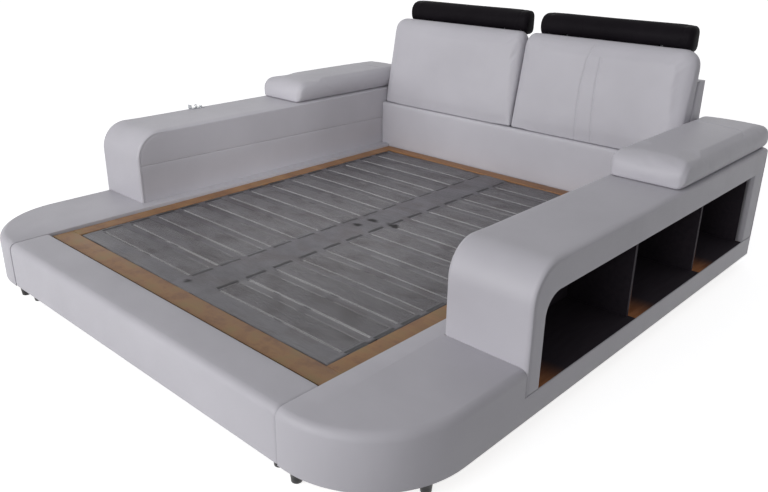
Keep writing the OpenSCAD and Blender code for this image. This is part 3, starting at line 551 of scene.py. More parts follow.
def repeatTree():  # copies of one piece on the points of a mesh, and their mirror images on the other side
    tree = bpy.data.node_groups.new("repeatOnPoints", "GeometryNodeTree")
    ids = {}
    for label, kind in (("Geometry", "Geometry"), ("Piece", "Object"), ("Size", "Vector"),
                        ("Finish", "Material"), ("Front Finish", "Material"), ("Front From", "Float")):
        entry = tree.interface.new_socket(label, in_out="INPUT", socket_type="NodeSocket" + kind)
        ids[label] = entry.identifier
    tree.interface.new_socket("Geometry", in_out="OUTPUT", socket_type="NodeSocketGeometry")

    def geometry(kind, inputs):
        return addNode(tree, "GeometryNode" + kind, inputs).outputs[0]

    given = addNode(tree, "NodeGroupInput").outputs
    piece = addNode(tree, "GeometryNodeObjectInfo", {"Object": given["Piece"]}).outputs["Geometry"]
    copies = geometry("InstanceOnPoints",
                      {"Points": given["Geometry"], "Instance": piece, "Scale": given["Size"]})
    right = geometry("RealizeInstances", {"Geometry": copies})
    turned = geometry("Transform", {"Geometry": right, "Scale": (-1, 1, 1)})
    left = geometry("FlipFaces", {"Mesh": turned})
    both = addNode(tree, "GeometryNodeJoinGeometry")
    for part in (right, left):
        tree.links.new(part, both.inputs[0])
    real = geometry("RealizeInstances", {"Geometry": both.outputs[0]})
    plain = geometry("SetMaterial", {"Geometry": real, "Material": given["Finish"]})
    normal = addNode(tree, "GeometryNodeInputNormal").outputs[0]
    facing = addNode(tree, "ShaderNodeVectorMath", {0: normal, 1: (0, -1, 0)}, operation="DOT_PRODUCT")
    pick = addNode(tree, "FunctionNodeCompare", {0: facing.outputs["Value"], 1: given["Front From"]},
                   operation="GREATER_THAN").outputs[0]
    edged = geometry("SetMaterial", {"Geometry": plain, "Material": given["Front Finish"], "Selection": pick})
    addNode(tree, "NodeGroupOutput", {"Geometry": edged})
    return tree, ids


repeatOnPoints, repeatIds = repeatTree()


def repeated(name, piece, points, finish, front=None):  # points on the right; the left mirrors them
    thing = meshFrom(name, points, [])
    step = thing.modifiers.new("repeat", "NODES")
    step.node_group = repeatOnPoints
    for label, value in (("Piece", piece), ("Size", (1.0, 1.0, 1.0)), ("Finish", finish),
                         ("Front Finish", front or finish), ("Front From", 0.6)):
        step[repeatIds[label]] = value
    bake(thing)
    bpy.data.objects.remove(piece)
    return thing


def spun(name, profile, count=40):  # a turned piece about Z from its (radius, height) profile
    turns = [2 * math.pi * k / count for k in range(count)]
    return loftedMesh(name, [[Vector((r * math.cos(t), r * math.sin(t), z)) for t in turns]
                             for r, z in profile])


def deckBars():
    thing = bevelledCopy("deck_frame", "deckBars", 0.0022)
    for one in thing.data.polygons:
        lengthwise = deckSpot["inFront"] < one.center.y < deckSpot["inBack"]
        one.material_index = int(lengthwise and abs(one.center.x) > deckSpot["inX"] - 0.001)
    dress(thing, [deckWoodAcross, deckWoodAlong], slot="deck_wood", stands=["deck_frame"])


slat = {"round": 0.0034, "bow": 0.0018, "steps": 36}


def slatForm():  # a sprung slat: round edges and a slight bow upwards
    low, high = slatBoxes[0]
    wide, thick, long = high.y - low.y, high.z - low.z, high.x - low.x
    r = slat["round"]
    outline = filletOutline([(0, 0, r), (wide, 0, r), (wide, thick, r), (0, thick, r)], 0, 5, 0.02)
    shares = [k / slat["steps"] for k in range(slat["steps"] + 1)]
    return loftedMesh("slatForm", [[Vector((u * long, p.x, p.y + slat["bow"] * bulge(u))) for p in outline]
                                   for u in shares])


def makeSlats():
    thing = repeated("slats_sprung", slatForm(), [box[0] for box in slatBoxes], slatWood, slatEdge)
    dress(thing, list(thing.data.materials), slot="slat_wood", stands=["slats"])


def makeHolders():
    for kind, stands in (("inner", ["slat_holders"]), ("outer", [])):
        rows = deckSpot[kind + "Pockets"]
        piece = cutFrom("slat_holders", *rows[0], "holderForm", 0.0009)
        thing = repeated("slatHolders_" + kind, piece, [box[0] for box in rows], blackPlastic)
        dress(thing, blackPlastic, slot="black_plastic", stands=stands)


peg = {"lip": 0.003, "base": 0.0016, "collar": 0.80, "core": 0.0005}


def makeFeet():  # a tapered foot with a collar; its sole's radius is read from the CAD node
    boxes = islandsOf("feet")
    low, high = boxes[0]
    mid, tall, top = (low + high) / 2, high.z - low.z, (high.x - low.x) / 2
    co = coordsOf(nodes["feet"].data)
    away = np.hypot(co[:, 0] - mid.x, co[:, 1] - mid.y)
    sole = float(away[(away < top * 1.1) & (co[:, 2] < low.z + 1e-4)].max())
    collar, lip, core = tall * peg["collar"], peg["lip"], peg["core"]
    profile = [(core, 0), (sole - peg["base"], 0), (sole, peg["base"]), (sole + 0.0012, tall * 0.25),
               (top - lip - 0.0005, collar - lip), (top - 0.0012, collar - 0.0015), (top - 0.0002, collar),
               (top, collar + 0.0015), (top, tall - 0.001), (top - 0.001, tall), (core, tall)]
    places = [(one[0] + one[1]) / 2 for one in boxes if one[0].x > 0]
    points = [(p.x, p.y, low.z) for p in places]
    thing = repeated("feet_turned", spun("footForm", profile), points, footPlastic)
    dress(thing, footPlastic, slot="foot_plastic", stands=["feet"])


strap = {"sag": 0.005, "steps": 6, "onSlat": 4, "rimX": 0.001, "rimZ": 0.0008}


def makeStraps():  # webbing under the slats, a little slack between them
    places = []
    for k, (low, high) in enumerate(slatBoxes):
        places += [(low.y + (high.y - low.y) * j / strap["onSlat"], 0.0) for j in range(strap["onSlat"] + 1)]
        if k + 1 < len(slatBoxes):
            ahead = slatBoxes[k + 1][0].y
            for j in range(1, strap["steps"]):
                u = j / strap["steps"]
                places.append((high.y + (ahead - high.y) * u, strap["sag"] * 4 * u * (1 - u)))
    made, rimX, rimZ = [], strap["rimX"], strap["rimZ"]
    for sign in sides.values():
        low, high = [box for box in islandsOf("slat_straps") if max(box[0].x * sign, box[1].x * sign) > 0][0]
        outline = [(low.x, low.z + rimZ), (low.x + rimX, low.z), (high.x - rimX, low.z),
                   (high.x, low.z + rimZ), (high.x, high.z - rimZ), (high.x - rimX, high.z),
                   (low.x + rimX, high.z), (low.x, high.z - rimZ)]
        made.append(lofted([[Vector((x, y, z - drop)) for x, z in outline] for y, drop in places]))
    dress(meshFrom("slatStraps", *joinShapes(made)), webbing, slot="strap_webbing", stands=["slat_straps"])


sheet = {
    "stepX": 0.013, "stepY": 0.0065, "thick": 0.0003, "lift": 0.0006,
    "tuck": 0.024, "tuckRows": 4, "tuckOut": 0.0015,    # turned down between deck and frame
    "edge": 0.0035, "edgeWander": 0.006, "edgeFine": 0.002,
    "sag": 0.0018, "sagEnd": 0.6, "before": 0.09,       # into the gaps, and ahead of the first slat
    "beam": 0.088, "pocketIn": 0.006, "blend": 0.030,   # where it climbs onto the holders
    "ripple": 0.0009, "fold": (3.1, 26), "crease": (9, 60, 12), "broad": (2.3, 5.5),   # height, and scales
    "tearShades": [(-0.015, -0.087, 0.018, 0.012), (-0.007, -0.002, 0.024, 0.012), (0.100, 0.019, 0.026, 0.015),
               (-0.047, -0.918, 0.010, 0.012)],         # painted shade where the sheet is torn: x, y and half widths
    "tearShadeRough": 0.6, "tearShadeReach": 1.5, "tearShadeSharp": 1.6,
}


def noiseAt(x, y, z):
    return noise.noise(Vector((x, y, z)))


def filmHeight(x, y):
    first, last = slatBoxes[0], slatBoxes[-1]
    wide, pitch = deckSpot["slatWide"], deckSpot["pitch"]
    level = first[1].z + slat["bow"] * bulge(clamped((abs(x) - first[0].x) / (first[1].x - first[0].x)))
    along = (y - first[0].y) % pitch
    if not (first[0].y <= y <= last[1].y and along < wide):
        w = (along - wide) / (pitch - wide) if y > first[0].y else min(1.0, (first[0].y - y) / sheet["before"])
        level -= sheet["sag"] * (4 * w * (1 - w) if 0 < w < 1 else sheet["sagEnd"])
    pocket = deckSpot["innerPockets"][0][1].z
    for reach in (sheet["beam"] - abs(x), abs(x) - (deckSpot["pocketOut"] - sheet["pocketIn"])):
        near = eased(clamped(reach / sheet["blend"]))
        level = level * (1 - near) + pocket * near
    (a, b), (c, d, e), (f, g) = sheet["fold"], sheet["crease"], sheet["broad"]
    fold = noiseAt(x * a, y * b, 0.3) * 0.6 + noiseAt(x * c, y * d + x * e, 4) * 0.4
    broad = noiseAt(x * f, y * g, 9)
    return level + sheet["lift"] + sheet["ripple"] * max(0.0, fold + 0.35) * (0.7 + 0.6 * broad)


def makeFilm():
    inX, y0, y1 = deckSpot["inX"], deckSpot["inFront"], deckSpot["inBack"]
    rows = sheet["tuckRows"]

    def stations(count):  # (side, share across, share tucked down)
        before = [(-1, 0, k / rows) for k in range(rows, 0, -1)]
        across = [(0, k / count, 0) for k in range(count + 1)]
        return before + across + [(1, 1, down) for _, _, down in reversed(before)]

    def margin(value, seed):
        return sheet["edge"] + sheet["edgeWander"] * max(0.0, noiseAt(value * 9, seed, 0) + 0.25) \
            + sheet["edgeFine"] * noiseAt(value * 38, seed, 3)

    xs, ys = stations(round(2 * inX / sheet["stepX"])), stations(round((y1 - y0) / sheet["stepY"]))
    verts = []
    for zoneY, v, downY in ys:
        for zoneX, u, downX in xs:
            flatX, flatY = -inX + 2 * inX * u, y0 + (y1 - y0) * v
            xa, xb = -inX + margin(flatY, 1.5), inX - margin(flatY, 5.5)
            ya, yb = y0 + margin(flatX, 9.5) * 1.2, y1 - margin(flatX, 13.5)
            x, y = xa + (xb - xa) * u, ya + (yb - ya) * v
            down = max(downX, downY)
            verts.append(Vector((x + zoneX * sheet["tuckOut"] * down, y + zoneY * sheet["tuckOut"] * down,
                                 filmHeight(x, y) - sheet["tuck"] * down)))
    n = len(xs)
    faces = [(j * n + i, j * n + i + 1, (j + 1) * n + i + 1, (j + 1) * n + i)
             for j in range(len(ys) - 1) for i in range(n - 1)]
    thing = meshFrom("film", verts, faces)
    skin = thing.modifiers.new("skin", "SOLIDIFY")
    skin.thickness = sheet["thick"]
    skin.offset = 0
    bake(thing)
    # where the sheet is torn, painted shade of the space below shows through
    tearShade = thing.data.attributes.new("tearShade", "FLOAT", "POINT")
    for k, v in enumerate(thing.data.vertices):
        rough = sheet["tearShadeRough"] * noise.noise(v.co * 60)
        far = min(math.hypot((v.co.x - x) / a, (v.co.y - y) / b) for x, y, a, b in sheet["tearShades"])
        tearShade.data[k].value = clamped((sheet["tearShadeReach"] + rough - far) * sheet["tearShadeSharp"])
    dress(thing, film)


deckBars()
makeSlats()
makeHolders()
makeFeet()
makeStraps()
makeFilm()
dress(bevelledCopy("centre_beam", "centreBeam", 0.002), beamWood, slot="slat_wood", stands=["centre_beam"])
print("bed: deck made")


# platform

foot = {
    "edge": 0.028, "backEdge": 0.008, "tuck": 0.006, "spacing": 0.03, "steps": 24,
    "wallFront": 0.014, "wallTop": 0.014, "wallBack": 0.003,
    # distance from an end, and how much the section is drawn in there
    "pinch": [(0.0, 0.0045), (0.0012, 0.0026), (0.004, 0.0011), (0.010, 0.0003), (0.02, 0.0)],
}


def footRailCover():
    y0, y1, z0, z1 = railLow.y, railHigh.y, railLow.z, railHigh.z
    outer = [(y0, z0, foot["tuck"]), (y1, z0, 0.001), (y1, z1, foot["backEdge"]), (y0, z1, foot["edge"])]
    yIn0, yIn1, zIn = y0 + foot["wallFront"], y1 - foot["wallBack"], z1 - foot["wallTop"]

    def section(draw):  # the outer outline from the back lower edge on, then the hollow inside
        ring = filletOutline(outer, draw, 6, foot["spacing"])
        start = max(range(len(ring)), key=lambda k: (ring[k].y < z0 + 0.0008 + draw) * 10 + ring[k].x)
        ring = [p for p in ring[start:] + ring[:start] if not (p.y < z0 + draw + 1e-5 and yIn0 < p.x < yIn1)]
        return ring + [Vector(p) for p in ((yIn0, z0 + draw), (yIn0, zIn), (yIn1, zIn), (yIn1, z0 + draw))]

    ends = [(railLow.x + d, railHigh.x - d, p) for d, p in foot["pinch"]]
    a, b = ends[-1][:2]
    stations = [(x, p) for x, _, p in ends]
    stations += [(a + (b - a) * k / foot["steps"], 0.0) for k in range(1, foot["steps"])]
    stations += [(x, p) for _, x, p in reversed(ends)]
    return loftedMesh("footRailCover", [[Vector((x, p.x, p.y)) for p in section(draw)]
                                        for x, draw in stations])


covered(footRailCover(), "foot_rail_cover")
for side in sides:
    covered(bevelledCopy("plinth_cover_" + side, "platformCover_" + side, 0.004), "plinth_cover_" + side)
print("bed: platform covered")


# arms

arm = {
    "corner": 0.12,            # front upper corner
    "backCorner": 0.016,
    "rollWide": 0.016,         # how the wrap rolls towards its side seams, at the front
    "rollDeep": 0.009,
    "seamIn": 0.0034,
    "rollWideTop": 0.034,      # and along the top
    "rollDeepTop": 0.0125,
    "seamInTop": 0.0008,
    "thick": 0.0135,
    "crossPoints": 14,
    "sag": 0.0009,
    "gap": 0.0005,             # between the wrap and what it stands on
    "panelInset": 0.0125,      # side panels start this far inside the arm's outline
    "panelBack": 0.0145,
    "profile": [(0.0012, 0.0), (0.0, 0.006), (0.0002, 0.0098), (0.0012, 0.0116), (0.0034, 0.0127),
                (0.008, 0.0134), (0.014, 0.0138), (0.020, 0.014), (0.0235, 0.014)],
    "seamFront": 0.408,        # height of the cross seam on the inner side
    "seamBack": 0.380,
    "seamSoft": 0.55,
    "seamNear": 0.012,
    "seamGap": 0.0001,
    "softFrom": (0.05, 0.16),  # where the soft top edges begin: behind the front, and how fast they come
    "softHigh": (0.05, 0.03),  # the same below the top
    "softMost": 0.9,
    "grooveFrom": 0.004,       # heights of the profile between which the grooves can fade
    "faceFrom": 0.0139,
    "weltR": 0.0019,
    "weltIn": 0.0012,
    "weltSink": 0.62,
    "weltFade": 0.003,
    "weltEnd": 0.30,
    "openFront": 0.075,        # the shelf opening
    "openBack": 0.112,
    "openBand": 0.106,
    "openCorner": 0.070,
}
opening = {
    "front": spot["armFront"] + arm["openFront"],
    "back": spot["armBack"] - arm["openBack"],
    "top": spot["armTop"] - arm["openBand"],
    "thick": 0.0012,           # of the leather that turns in
    "lift": 0.0006,
    "fromOuter": 0.005,
    "fromBoard": 0.001,
    "gap": 0.0002,
}


def frontPath(low, inset=0.0):  # (y, z, outward y, outward z) up the arm's front and round its corner
    front, r = spot["armFront"], arm["corner"]
    path = [(front + inset, low + (spot["armTop"] - r - low) * k / 12, -1.0, 0.0) for k in range(13)]
    return path + [(front + r + (r - inset) * math.cos(t), spot["armTop"] - r + (r - inset) * math.sin(t),
                    math.cos(t), math.sin(t)) for t in arc(180, 90, 16)]


def wrapPath():  # the same along the arm's whole outline, front foot to rear foot
    back, top, q = spot["armBack"], spot["armTop"], arm["backCorner"]
    path = frontPath(spot["railTop"] + arm["gap"])
    y0, y1 = spot["armFront"] + arm["corner"], back - q
    path += [(y0 + (y1 - y0) * k / 40, top, 0.0, 1.0) for k in range(1, 41)]
    path += [(y1 + q * math.cos(t), top - q + q * math.sin(t), math.cos(t), math.sin(t)) for t in arc(90, 0, 8)]
    z0, z1 = top - q, spot["underside"] + arm["gap"]
    return path + [(back, z0 + (z1 - z0) * k / 14, 1.0, 0.0) for k in range(1, 15)]


def softEdge(y, z):  # 0 where the side seams are plain grooves, 1 along the arm's soft top edges
    back = clamped((y - spot["armFront"] - arm["softFrom"][0]) / arm["softFrom"][1])
    return eased(back * clamped((z - spot["armTop"] + arm["softHigh"][0]) / arm["softHigh"][1]))


def wrapSection(soft):  # (distance across, depth below the outer face), one closed row
    a, b, g = [arm[k] + (arm[k + "Top"] - arm[k]) * soft for k in ("rollWide", "rollDeep", "seamIn")]
    w = spot["armOut"] - spot["armIn"]
    edge = [(g + 0.001, arm["thick"]), (g, 0.0132), (g * 0.5, 0.0130), (g * 0.16, b + (0.013 - b) * 0.4)]
    edge += [(a * (1 - math.sin(math.radians(t))), b * (1 - math.cos(math.radians(t))))
             for t in (90, 74, 58, 42, 28, 14, 0)]
    middle = [(a + (w - 2 * a) * k / arm["crossPoints"], 0.0) for k in range(1, arm["crossPoints"])]
    inner = [(w - 0.03, arm["thick"]), (w / 2, arm["thick"]), (0.03, arm["thick"])]
    return edge + middle + [(w - s, d) for s, d in reversed(edge)] + inner


def armWrap(side):
    sign = sides[side]
    rings = []
    for y, z, ny, nz in wrapPath():
        ring = []
        for s, d in wrapSection(softEdge(y, z)):
            x = spot["armIn"] + s
            if d == 0.0:  # the leather sags a little between its seams
                d = max(-arm["sag"] * (noiseAt(x * 7 + 3 * sign, y * 4, z * 4) - 0.6), 0.0)
            ring.append(Vector((sign * x, y - ny * d, z - nz * d)))
        rings.append(ring)
    return loftedMesh("armWrap_" + side, rings)


def seamHeight(y):
    share = (y - spot["armFront"]) / (spot["armBack"] - spot["armFront"])
    return arm["seamFront"] + (arm["seamBack"] - arm["seamFront"]) * share


def sidePanel(name, sign, face, inward, outlines):
    def place(u, v, h):
        if arm["grooveFrom"] < h <= arm["faceFrom"]:  # fading along the top, and shallow at the cross seam
            fade = softEdge(u, v + 0.012) * arm["softMost"]
            if inward > 0 and abs(v - seamHeight(u)) < arm["seamNear"]:
                fade = max(fade, arm["seamSoft"])
            h += (spot["pad"] - 0.0002 - h) * fade
        return Vector((sign * (face + inward * (spot["pad"] - h)), u, v))

    return meshFrom(name, *joinShapes([puffShape(corners, place, arm["profile"], 10) for corners in outlines]))


def sideCorners():  # front, back, bottom and top of a side panel, and its corner's radius
    i = arm["panelInset"]
    return (spot["armFront"] + i, spot["armBack"] - arm["panelBack"], spot["railTop"] + 0.001,
            spot["armTop"] - i, arm["corner"] - i)


def innerOutlines():
    f, b, low, top, r = sideCorners()
    seamF, seamB, g = arm["seamFront"], arm["seamBack"], arm["seamGap"]
    return [[(f, seamF + g, 0.002), (b, seamB + g, 0.002), (b, top, 0.004), (f, top, r)],
            [(f, low, 0.002), (b, low, 0.002), (b, seamB - g, 0.002), (f, seamF - g, 0.002)]]


def outerOutlines():
    f, b, low, top, r = sideCorners()
    of, ob, ot = opening["front"], opening["back"], opening["top"]
    return [[(f, low, 0.004), (of, low, 0.003), (of, ot, arm["openCorner"]), (ob, ot, 0.004), (ob, low, 0.003),
             (b, low, 0.004), (b, top, 0.004), (f, top, r)]]


def openingReturn(side):  # the leather that turns in round the shelf opening and covers the board's edge
    of, ob, ot, low = opening["front"], opening["back"], opening["top"], spot["railTop"] + opening["lift"]
    outerX, innerX = spot["armOut"] - opening["fromOuter"], boxHigh.x - opening["fromBoard"]
    corners = [(of, low, 0.0005), (ob, low, 0.0005), (ob, ot, 0.003), (of, ot, arm["openCorner"])]
    path, inside = [filletOutline(corners, opening["gap"] + thick, 10) for thick in (0.0, opening["thick"])]
    first = next(k for k, p in enumerate(path) if p.x > ob - 0.0015 and p.y < low + 0.0015)
    rings = []
    for a, b in zip(path[first:] + path[:first], inside[first:] + inside[:first]):
        if a.y < low + 0.0004 and of + 0.001 < a.x < ob - 0.001:
            continue  # no leather along the bottom
        b = Vector((b.x, max(b.y, a.y) if a.y < low + 0.002 else b.y))
        rings.append([Vector((sides[side] * x, q.x, q.y)) for x, q in
                      ((outerX, a), (innerX, a), (innerX, b), (outerX, b))])
    return loftedMesh("openingReturn_" + side, rings)


def tube(points, radius, count=8):  # a thin round cord through points on a plane across X
    rings, turns = [], [2 * math.pi * i / count for i in range(count)]
    for k, p in enumerate(points):
        along = (points[min(k + 1, len(points) - 1)] - points[max(k - 1, 0)]).normalized()
        third = along.cross(Vector((1, 0, 0))).normalized()
        across = third.cross(along)
        rings.append([p + (across * math.cos(t) + third * math.sin(t)) * radius for t in turns])
    return rings


def armWelt(side, face, inward):  # the sewn rib along the front outline of a side panel, fading along the top
    d, corner = arm["panelInset"] - arm["weltIn"], spot["armFront"] + arm["corner"]
    low = spot["railTop"] + 0.006 if inward < 0 else spot["plinthTop"] + 0.001
    points = [(y, z, 0.0) for y, z, _, _ in frontPath(low, d)]
    points += [(corner + (arm["weltEnd"] - arm["corner"]) * k / 10, spot["armTop"] - d, k / 10)
               for k in range(1, 11)]
    sink = arm["seamIn"] * arm["weltSink"]
    row = [Vector((sides[side] * (face + inward * (sink + arm["weltFade"] * fade)), y, z))
           for y, z, fade in points]
    return loftedMesh("armWelt" + ("Inner_" if inward > 0 else "Outer_") + side, tube(row, arm["weltR"]))


for side, sign in sides.items():
    covered(armWelt(side, spot["armIn"], 1))
    covered(armWelt(side, spot["armOut"], -1))
    covered(armWrap(side), "arm_wrap_" + side)
    covered(openingReturn(side))
    for kind, face, inward, outlines in (("Inner", spot["armIn"], 1, innerOutlines()),
                                         ("Outer", spot["armOut"], -1, outerOutlines())):
        covered(sidePanel("arm" + kind + "Side_" + side, sign, face, inward, outlines),
                "arm_" + kind.lower() + "_side_" + side)
print("bed: arms covered")


# headboard

head = {
    "corner": 0.012,
    "profile": [(0.003, 0.0), (0.0, 0.003), (0.0, 0.046), (0.0008, 0.0505), (0.0030, 0.0540), (0.0065, 0.0562),
                (0.012, 0.0576), (0.03, 0.0583), (0.065, 0.0590), (0.1, 0.0594), (0.12, 0.0595)],
    "lining": 0.0012,
    "board": 0.012,            # thickness of the sloping board
}
headLow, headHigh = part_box("head_panel")


def headPanel():
    corners = [(x, z, head["corner"]) for x, z in ((headLow.x, headLow.z), (headHigh.x, headLow.z),
                                                   (headHigh.x, headHigh.z), (headLow.x, headHigh.z))]
    return meshFrom("headPanel", *puffShape(corners, lambda u, v, h: Vector((u, headHigh.y - h, v)),
                                            head["profile"], 6))


def headLining():  # leather over the ledge and up the sloping board, behind the cushions
    y0, y1, z0, z1 = headHigh.y + 0.0005, slopeLow.y, slopeLow.z, slopeHigh.z
    run = slopeHigh.y - head["board"] - slopeLow.y
    up, out = Vector((0, 1)), Vector((-(z1 - z0), run)).normalized()
    path = [(Vector((y0, z0)), up), (Vector((y0 + (y1 - y0) * 0.6, z0)), up),
            (Vector((y1, z0)), (up + out).normalized() * 1.3)]
    path += [(Vector((y1 + run * k / 8, z0 + (z1 - z0) * k / 8)), out) for k in range(1, 9)]
    half, rings = headHigh.x - 0.0002, []
    for p, n in path:
        q = p + n * head["lining"]
        rings.append([Vector((-half, p.x, p.y)), Vector((half, p.x, p.y)), Vector((half, q.x, q.y)),
                      Vector((-half, q.x, q.y))])
    return loftedMesh("headLining", rings)


covered(headPanel(), "head_panel")
covered(headLining())
covered(bevelledCopy("headboard_cover", "headboardCover", 0.0012, 2), "headboard_cover")
print("bed: headboard covered")


# soft pieces

def softLoft(name, corners, xs, place, spacing=0.02):
    # a stuffed form: its section in depth and height runs along x; place says where a point of it lies,
    # from its share of depth and height and from how far the section has come round the end
    deep = max(c[0] for c in corners)
    tall = max(c[1] for c in corners)
    outline = [(p.x / deep, p.y / tall) for p in filletOutline(corners, 0, 10, spacing)]
    turns, middle = [0.0] + arc(0, 90, 12), 40
    stations = [(0.0, turn, 1) for turn in turns]
    stations += [(k / middle, math.pi / 2, 0) for k in range(1, middle)]
    stations += [(1.0, turn, -1) for turn in reversed(turns)]
    return loftedMesh(name, [[place(xs, at, 1 - math.cos(turn), 1 - math.sin(turn), end, a, b)
                              for a, b in outline] for at, turn, end in stations])


def alongX(xs, at, out, end, roundHere, roundMost):  # x of a station, from the size of the end's rounding there
    if end > 0:
        return xs[0] + roundHere * out
    if end < 0:
        return xs[1] - roundHere * out
    return xs[0] + roundMost + (xs[1] - xs[0] - 2 * roundMost) * at


def calmed(thing, times):
    thing.modifiers.new("calm", "SMOOTH").iterations = times


def normalsOf(mesh, kept):  # none where the piece is kept in place
    normals = np.array([v.normal for v in mesh.vertices])
    normals[kept] = 0
    return normals


def remeshed(thing, voxel):
    even = thing.modifiers.new("even", "REMESH")
    even.mode = "VOXEL"
    even.voxel_size = voxel
    even.use_smooth_shade = True
    calmed(thing, 4)
    return bake(thing).data


def onSurface(thing, lines, step):  # lines laid on the piece, with points close together
    tree = BVHTree.FromObject(thing, bpy.context.evaluated_depsgraph_get())
    laid = []
    for line in lines:
        row = []
        for a, b in zip(line[:-1], line[1:]):
            a, b = Vector(a), Vector(b)
            count = max(1, int((b - a).length / step))
            row += [a.lerp(b, k / count) for k in range(count)]
        row.append(Vector(line[-1]))
        laid.append([tree.find_nearest(p)[0] for p in row])
    return laid


def treeOf(laid, step=0.0):  # the lines' points for searching, and how far along its line each one is
    along = [number * step for row in laid for number in range(len(row))]
    tree = KDTree(len(along))
    for k, p in enumerate(p for row in laid for p in row):
        tree.insert(p, k)
    tree.balance()
    return tree, along


def inflated(thing, far, soft, kept):  # a groove along the seams, then a short cloth run with pressure inside
    mesh = thing.data
    normals = normalsOf(mesh, kept)
    coords = coordsOf(mesh)
    coords = coords - normals * (soft["groove"] * np.exp(-(far / soft["grooveWide"]) ** 2))[:, None]
    setCoords(mesh, coords)
    held = thing.vertex_groups.new(name="held")
    held.add([int(k) for k in np.nonzero((far < soft["hold"]) | kept)[0]], 1.0, "REPLACE")
    air = thing.modifiers.new("air", "CLOTH")
    rules = air.settings
    rules.quality = 4
    rules.use_pressure = True
    rules.uniform_pressure_force = soft["pressure"]
    rules.effector_weights.gravity = 0
    rules.tension_stiffness = soft["stiff"]
    rules.compression_stiffness = soft["stiff"]
    rules.bending_stiffness = soft["bend"]
    rules.shrink_min = -soft["slack"]
    rules.vertex_group_mass = "held"
    air.collision_settings.use_collision = False
    scene = bpy.context.scene
    for number in range(1, soft["frames"] + 1):
        scene.frame_set(number)
    graph = bpy.context.evaluated_depsgraph_get()
    moved = coordsOf(bpy.data.meshes.new_from_object(thing.evaluated_get(graph)))
    scene.frame_set(1)
    thing.modifiers.clear()
    delta = moved - coords
    size = np.linalg.norm(delta, axis=1)
    delta *= (np.minimum(size, soft["cap"]) / np.maximum(size, 1e-9))[:, None]
    setCoords(mesh, coords + delta)


def finished(thing, times):
    calmed(thing, times)
    finer = thing.modifiers.new("finer", "SUBSURF")
    finer.levels = finer.render_levels = 1
    shaded(bake(thing).data)


def sewn(thing, lines, soft):  # fine seams: a narrow groove with small puckers, on a mesh made finer there
    tree, along = treeOf(onSurface(thing, lines, soft["stitch"]), soft["stitch"])
    with editing(thing.data) as shape:
        near = [f for f in shape.faces if tree.find(f.calc_center_median())[2] < soft["finer"]]
        edges = list({edge for f in near for edge in f.edges})
        bmesh.ops.subdivide_edges(shape, edges=edges, cuts=1, use_grid_fill=True)
        shape.normal_update()
        for v in shape.verts:
            _, index, far = tree.find(v.co)
            if far < soft["pucker"] * 3:
                at = along[index]
                wave = math.sin(at * 2 * math.pi / soft["puckerStep"] + 5 * math.sin(at * 23))
                dip = soft["seam"] * math.exp(-(far / soft["seamWide"]) ** 2)
                dip += soft["puckerDeep"] * wave * math.exp(-(far / soft["pucker"]) ** 2) * min(1, far / 0.004)
                v.co -= v.normal * dip
    shaded(thing.data)


def softPiece(thing, soft, box, seams, rests, lines=()):  # rests says which points of its mesh lie on something
    mesh = remeshed(thing, soft["voxel"])
    setCoords(mesh, coordsOf(mesh) - normalsOf(mesh, rests(mesh, box[0])) * soft["shrink"])
    tree = treeOf(onSurface(thing, seams, soft["seamStep"]))[0]
    far = np.array([tree.find(v.co)[2] for v in mesh.vertices])
    inflated(thing, far, soft, rests(mesh, box[0]))
    finished(thing, soft["calm"])
    if lines:
        sewn(thing, lines, soft)
    coords = coordsOf(thing.data)  # brought to the size of the solid that it stands for
    for axis in range(3):
        low, high = coords[:, axis].min(), coords[:, axis].max()
        want = (box[0][axis], box[1][axis])
        coords[:, axis] = want[0] + (coords[:, axis] - low) * (want[1] - want[0]) / (high - low)
    setCoords(thing.data, coords)
    return thing


stuffed = {  # what all soft pieces have in common
    "pressure": 3.0, "frames": 12, "stiff": 15, "bend": 2.0,
    "grooveWide": 0.005, "hold": 0.0045, "seamStep": 0.004,
    "finer": 0.016, "seam": 0.0036, "seamWide": 0.0042, "stitch": 0.003,
    "pucker": 0.012, "puckerDeep": 0.0002, "puckerStep": 0.021,
}
cushion = dict(
    stuffed, voxel=0.0075, shrink=0.003, cap=0.005, slack=0.001, groove=0.0022, calm=8,
    deep=0.098, bottomFront=0.006, bottomBack=0.012, topFront=0.044, topBack=0.048, crown=0.016,
    # rounding of the ends next to the other cushion and of the outer ones: along x, at the front, at the back
    innerBottom=(0.010, 0.009, 0.006), innerTop=(0.045, 0.026, 0.015),
    outerBottom=(0.034, 0.026, 0.006), outerTop=(0.074, 0.038, 0.015),
    endDrop=0.060, gusset=0.036, lies=0.012,
    # its foot: a square front corner that fades towards the ends, and how far it sinks, more ahead of the panel
    square=0.011, power=6, squareEnds=0.03, footHigh=0.05, sink=0.0068, sinkAhead=0.0014, aheadRun=0.006)
armPad = dict(
    stuffed, voxel=0.006, shrink=0.003, cap=0.005, slack=0.002, groove=0.0022, calm=8,
    front=0.058, frontLow=0.010, back=0.050, backLow=0.010, ends=0.032, crown=0.010, lies=0.008)
headrest = dict(
    stuffed, voxel=0.0055, shrink=0.0015, cap=0.003, slack=0.002, groove=0.0015, calm=2,
    front=0.052, frontLow=0.046, back=0.020, backLow=0.020, ends=0.030, crown=0.0,
    band=0.033, ring=(0.055, 0.062),   # the seam near each end
    grow=(Vector((0.011, 0.003, 0.006)), Vector((0.011, 0.003, 0.008))))
cushionSeams = [  # (x, z) of the two sewn lines on the right-hand cushion, top to bottom
    [(0.393, 0.935), (0.374, 0.844), (0.363, 0.726), (0.366, 0.608), (0.371, 0.534), (0.374, 0.482)],
    [(0.439, 0.852), (0.438, 0.736), (0.445, 0.619), (0.456, 0.526), (0.458, 0.482)],
]
padSeam = [  # (x from the inner edge, y) of the line across an arm pad
    (0.020, 1.033), (0.05, 1.024), (0.158, 0.998), (0.255, 0.979)]
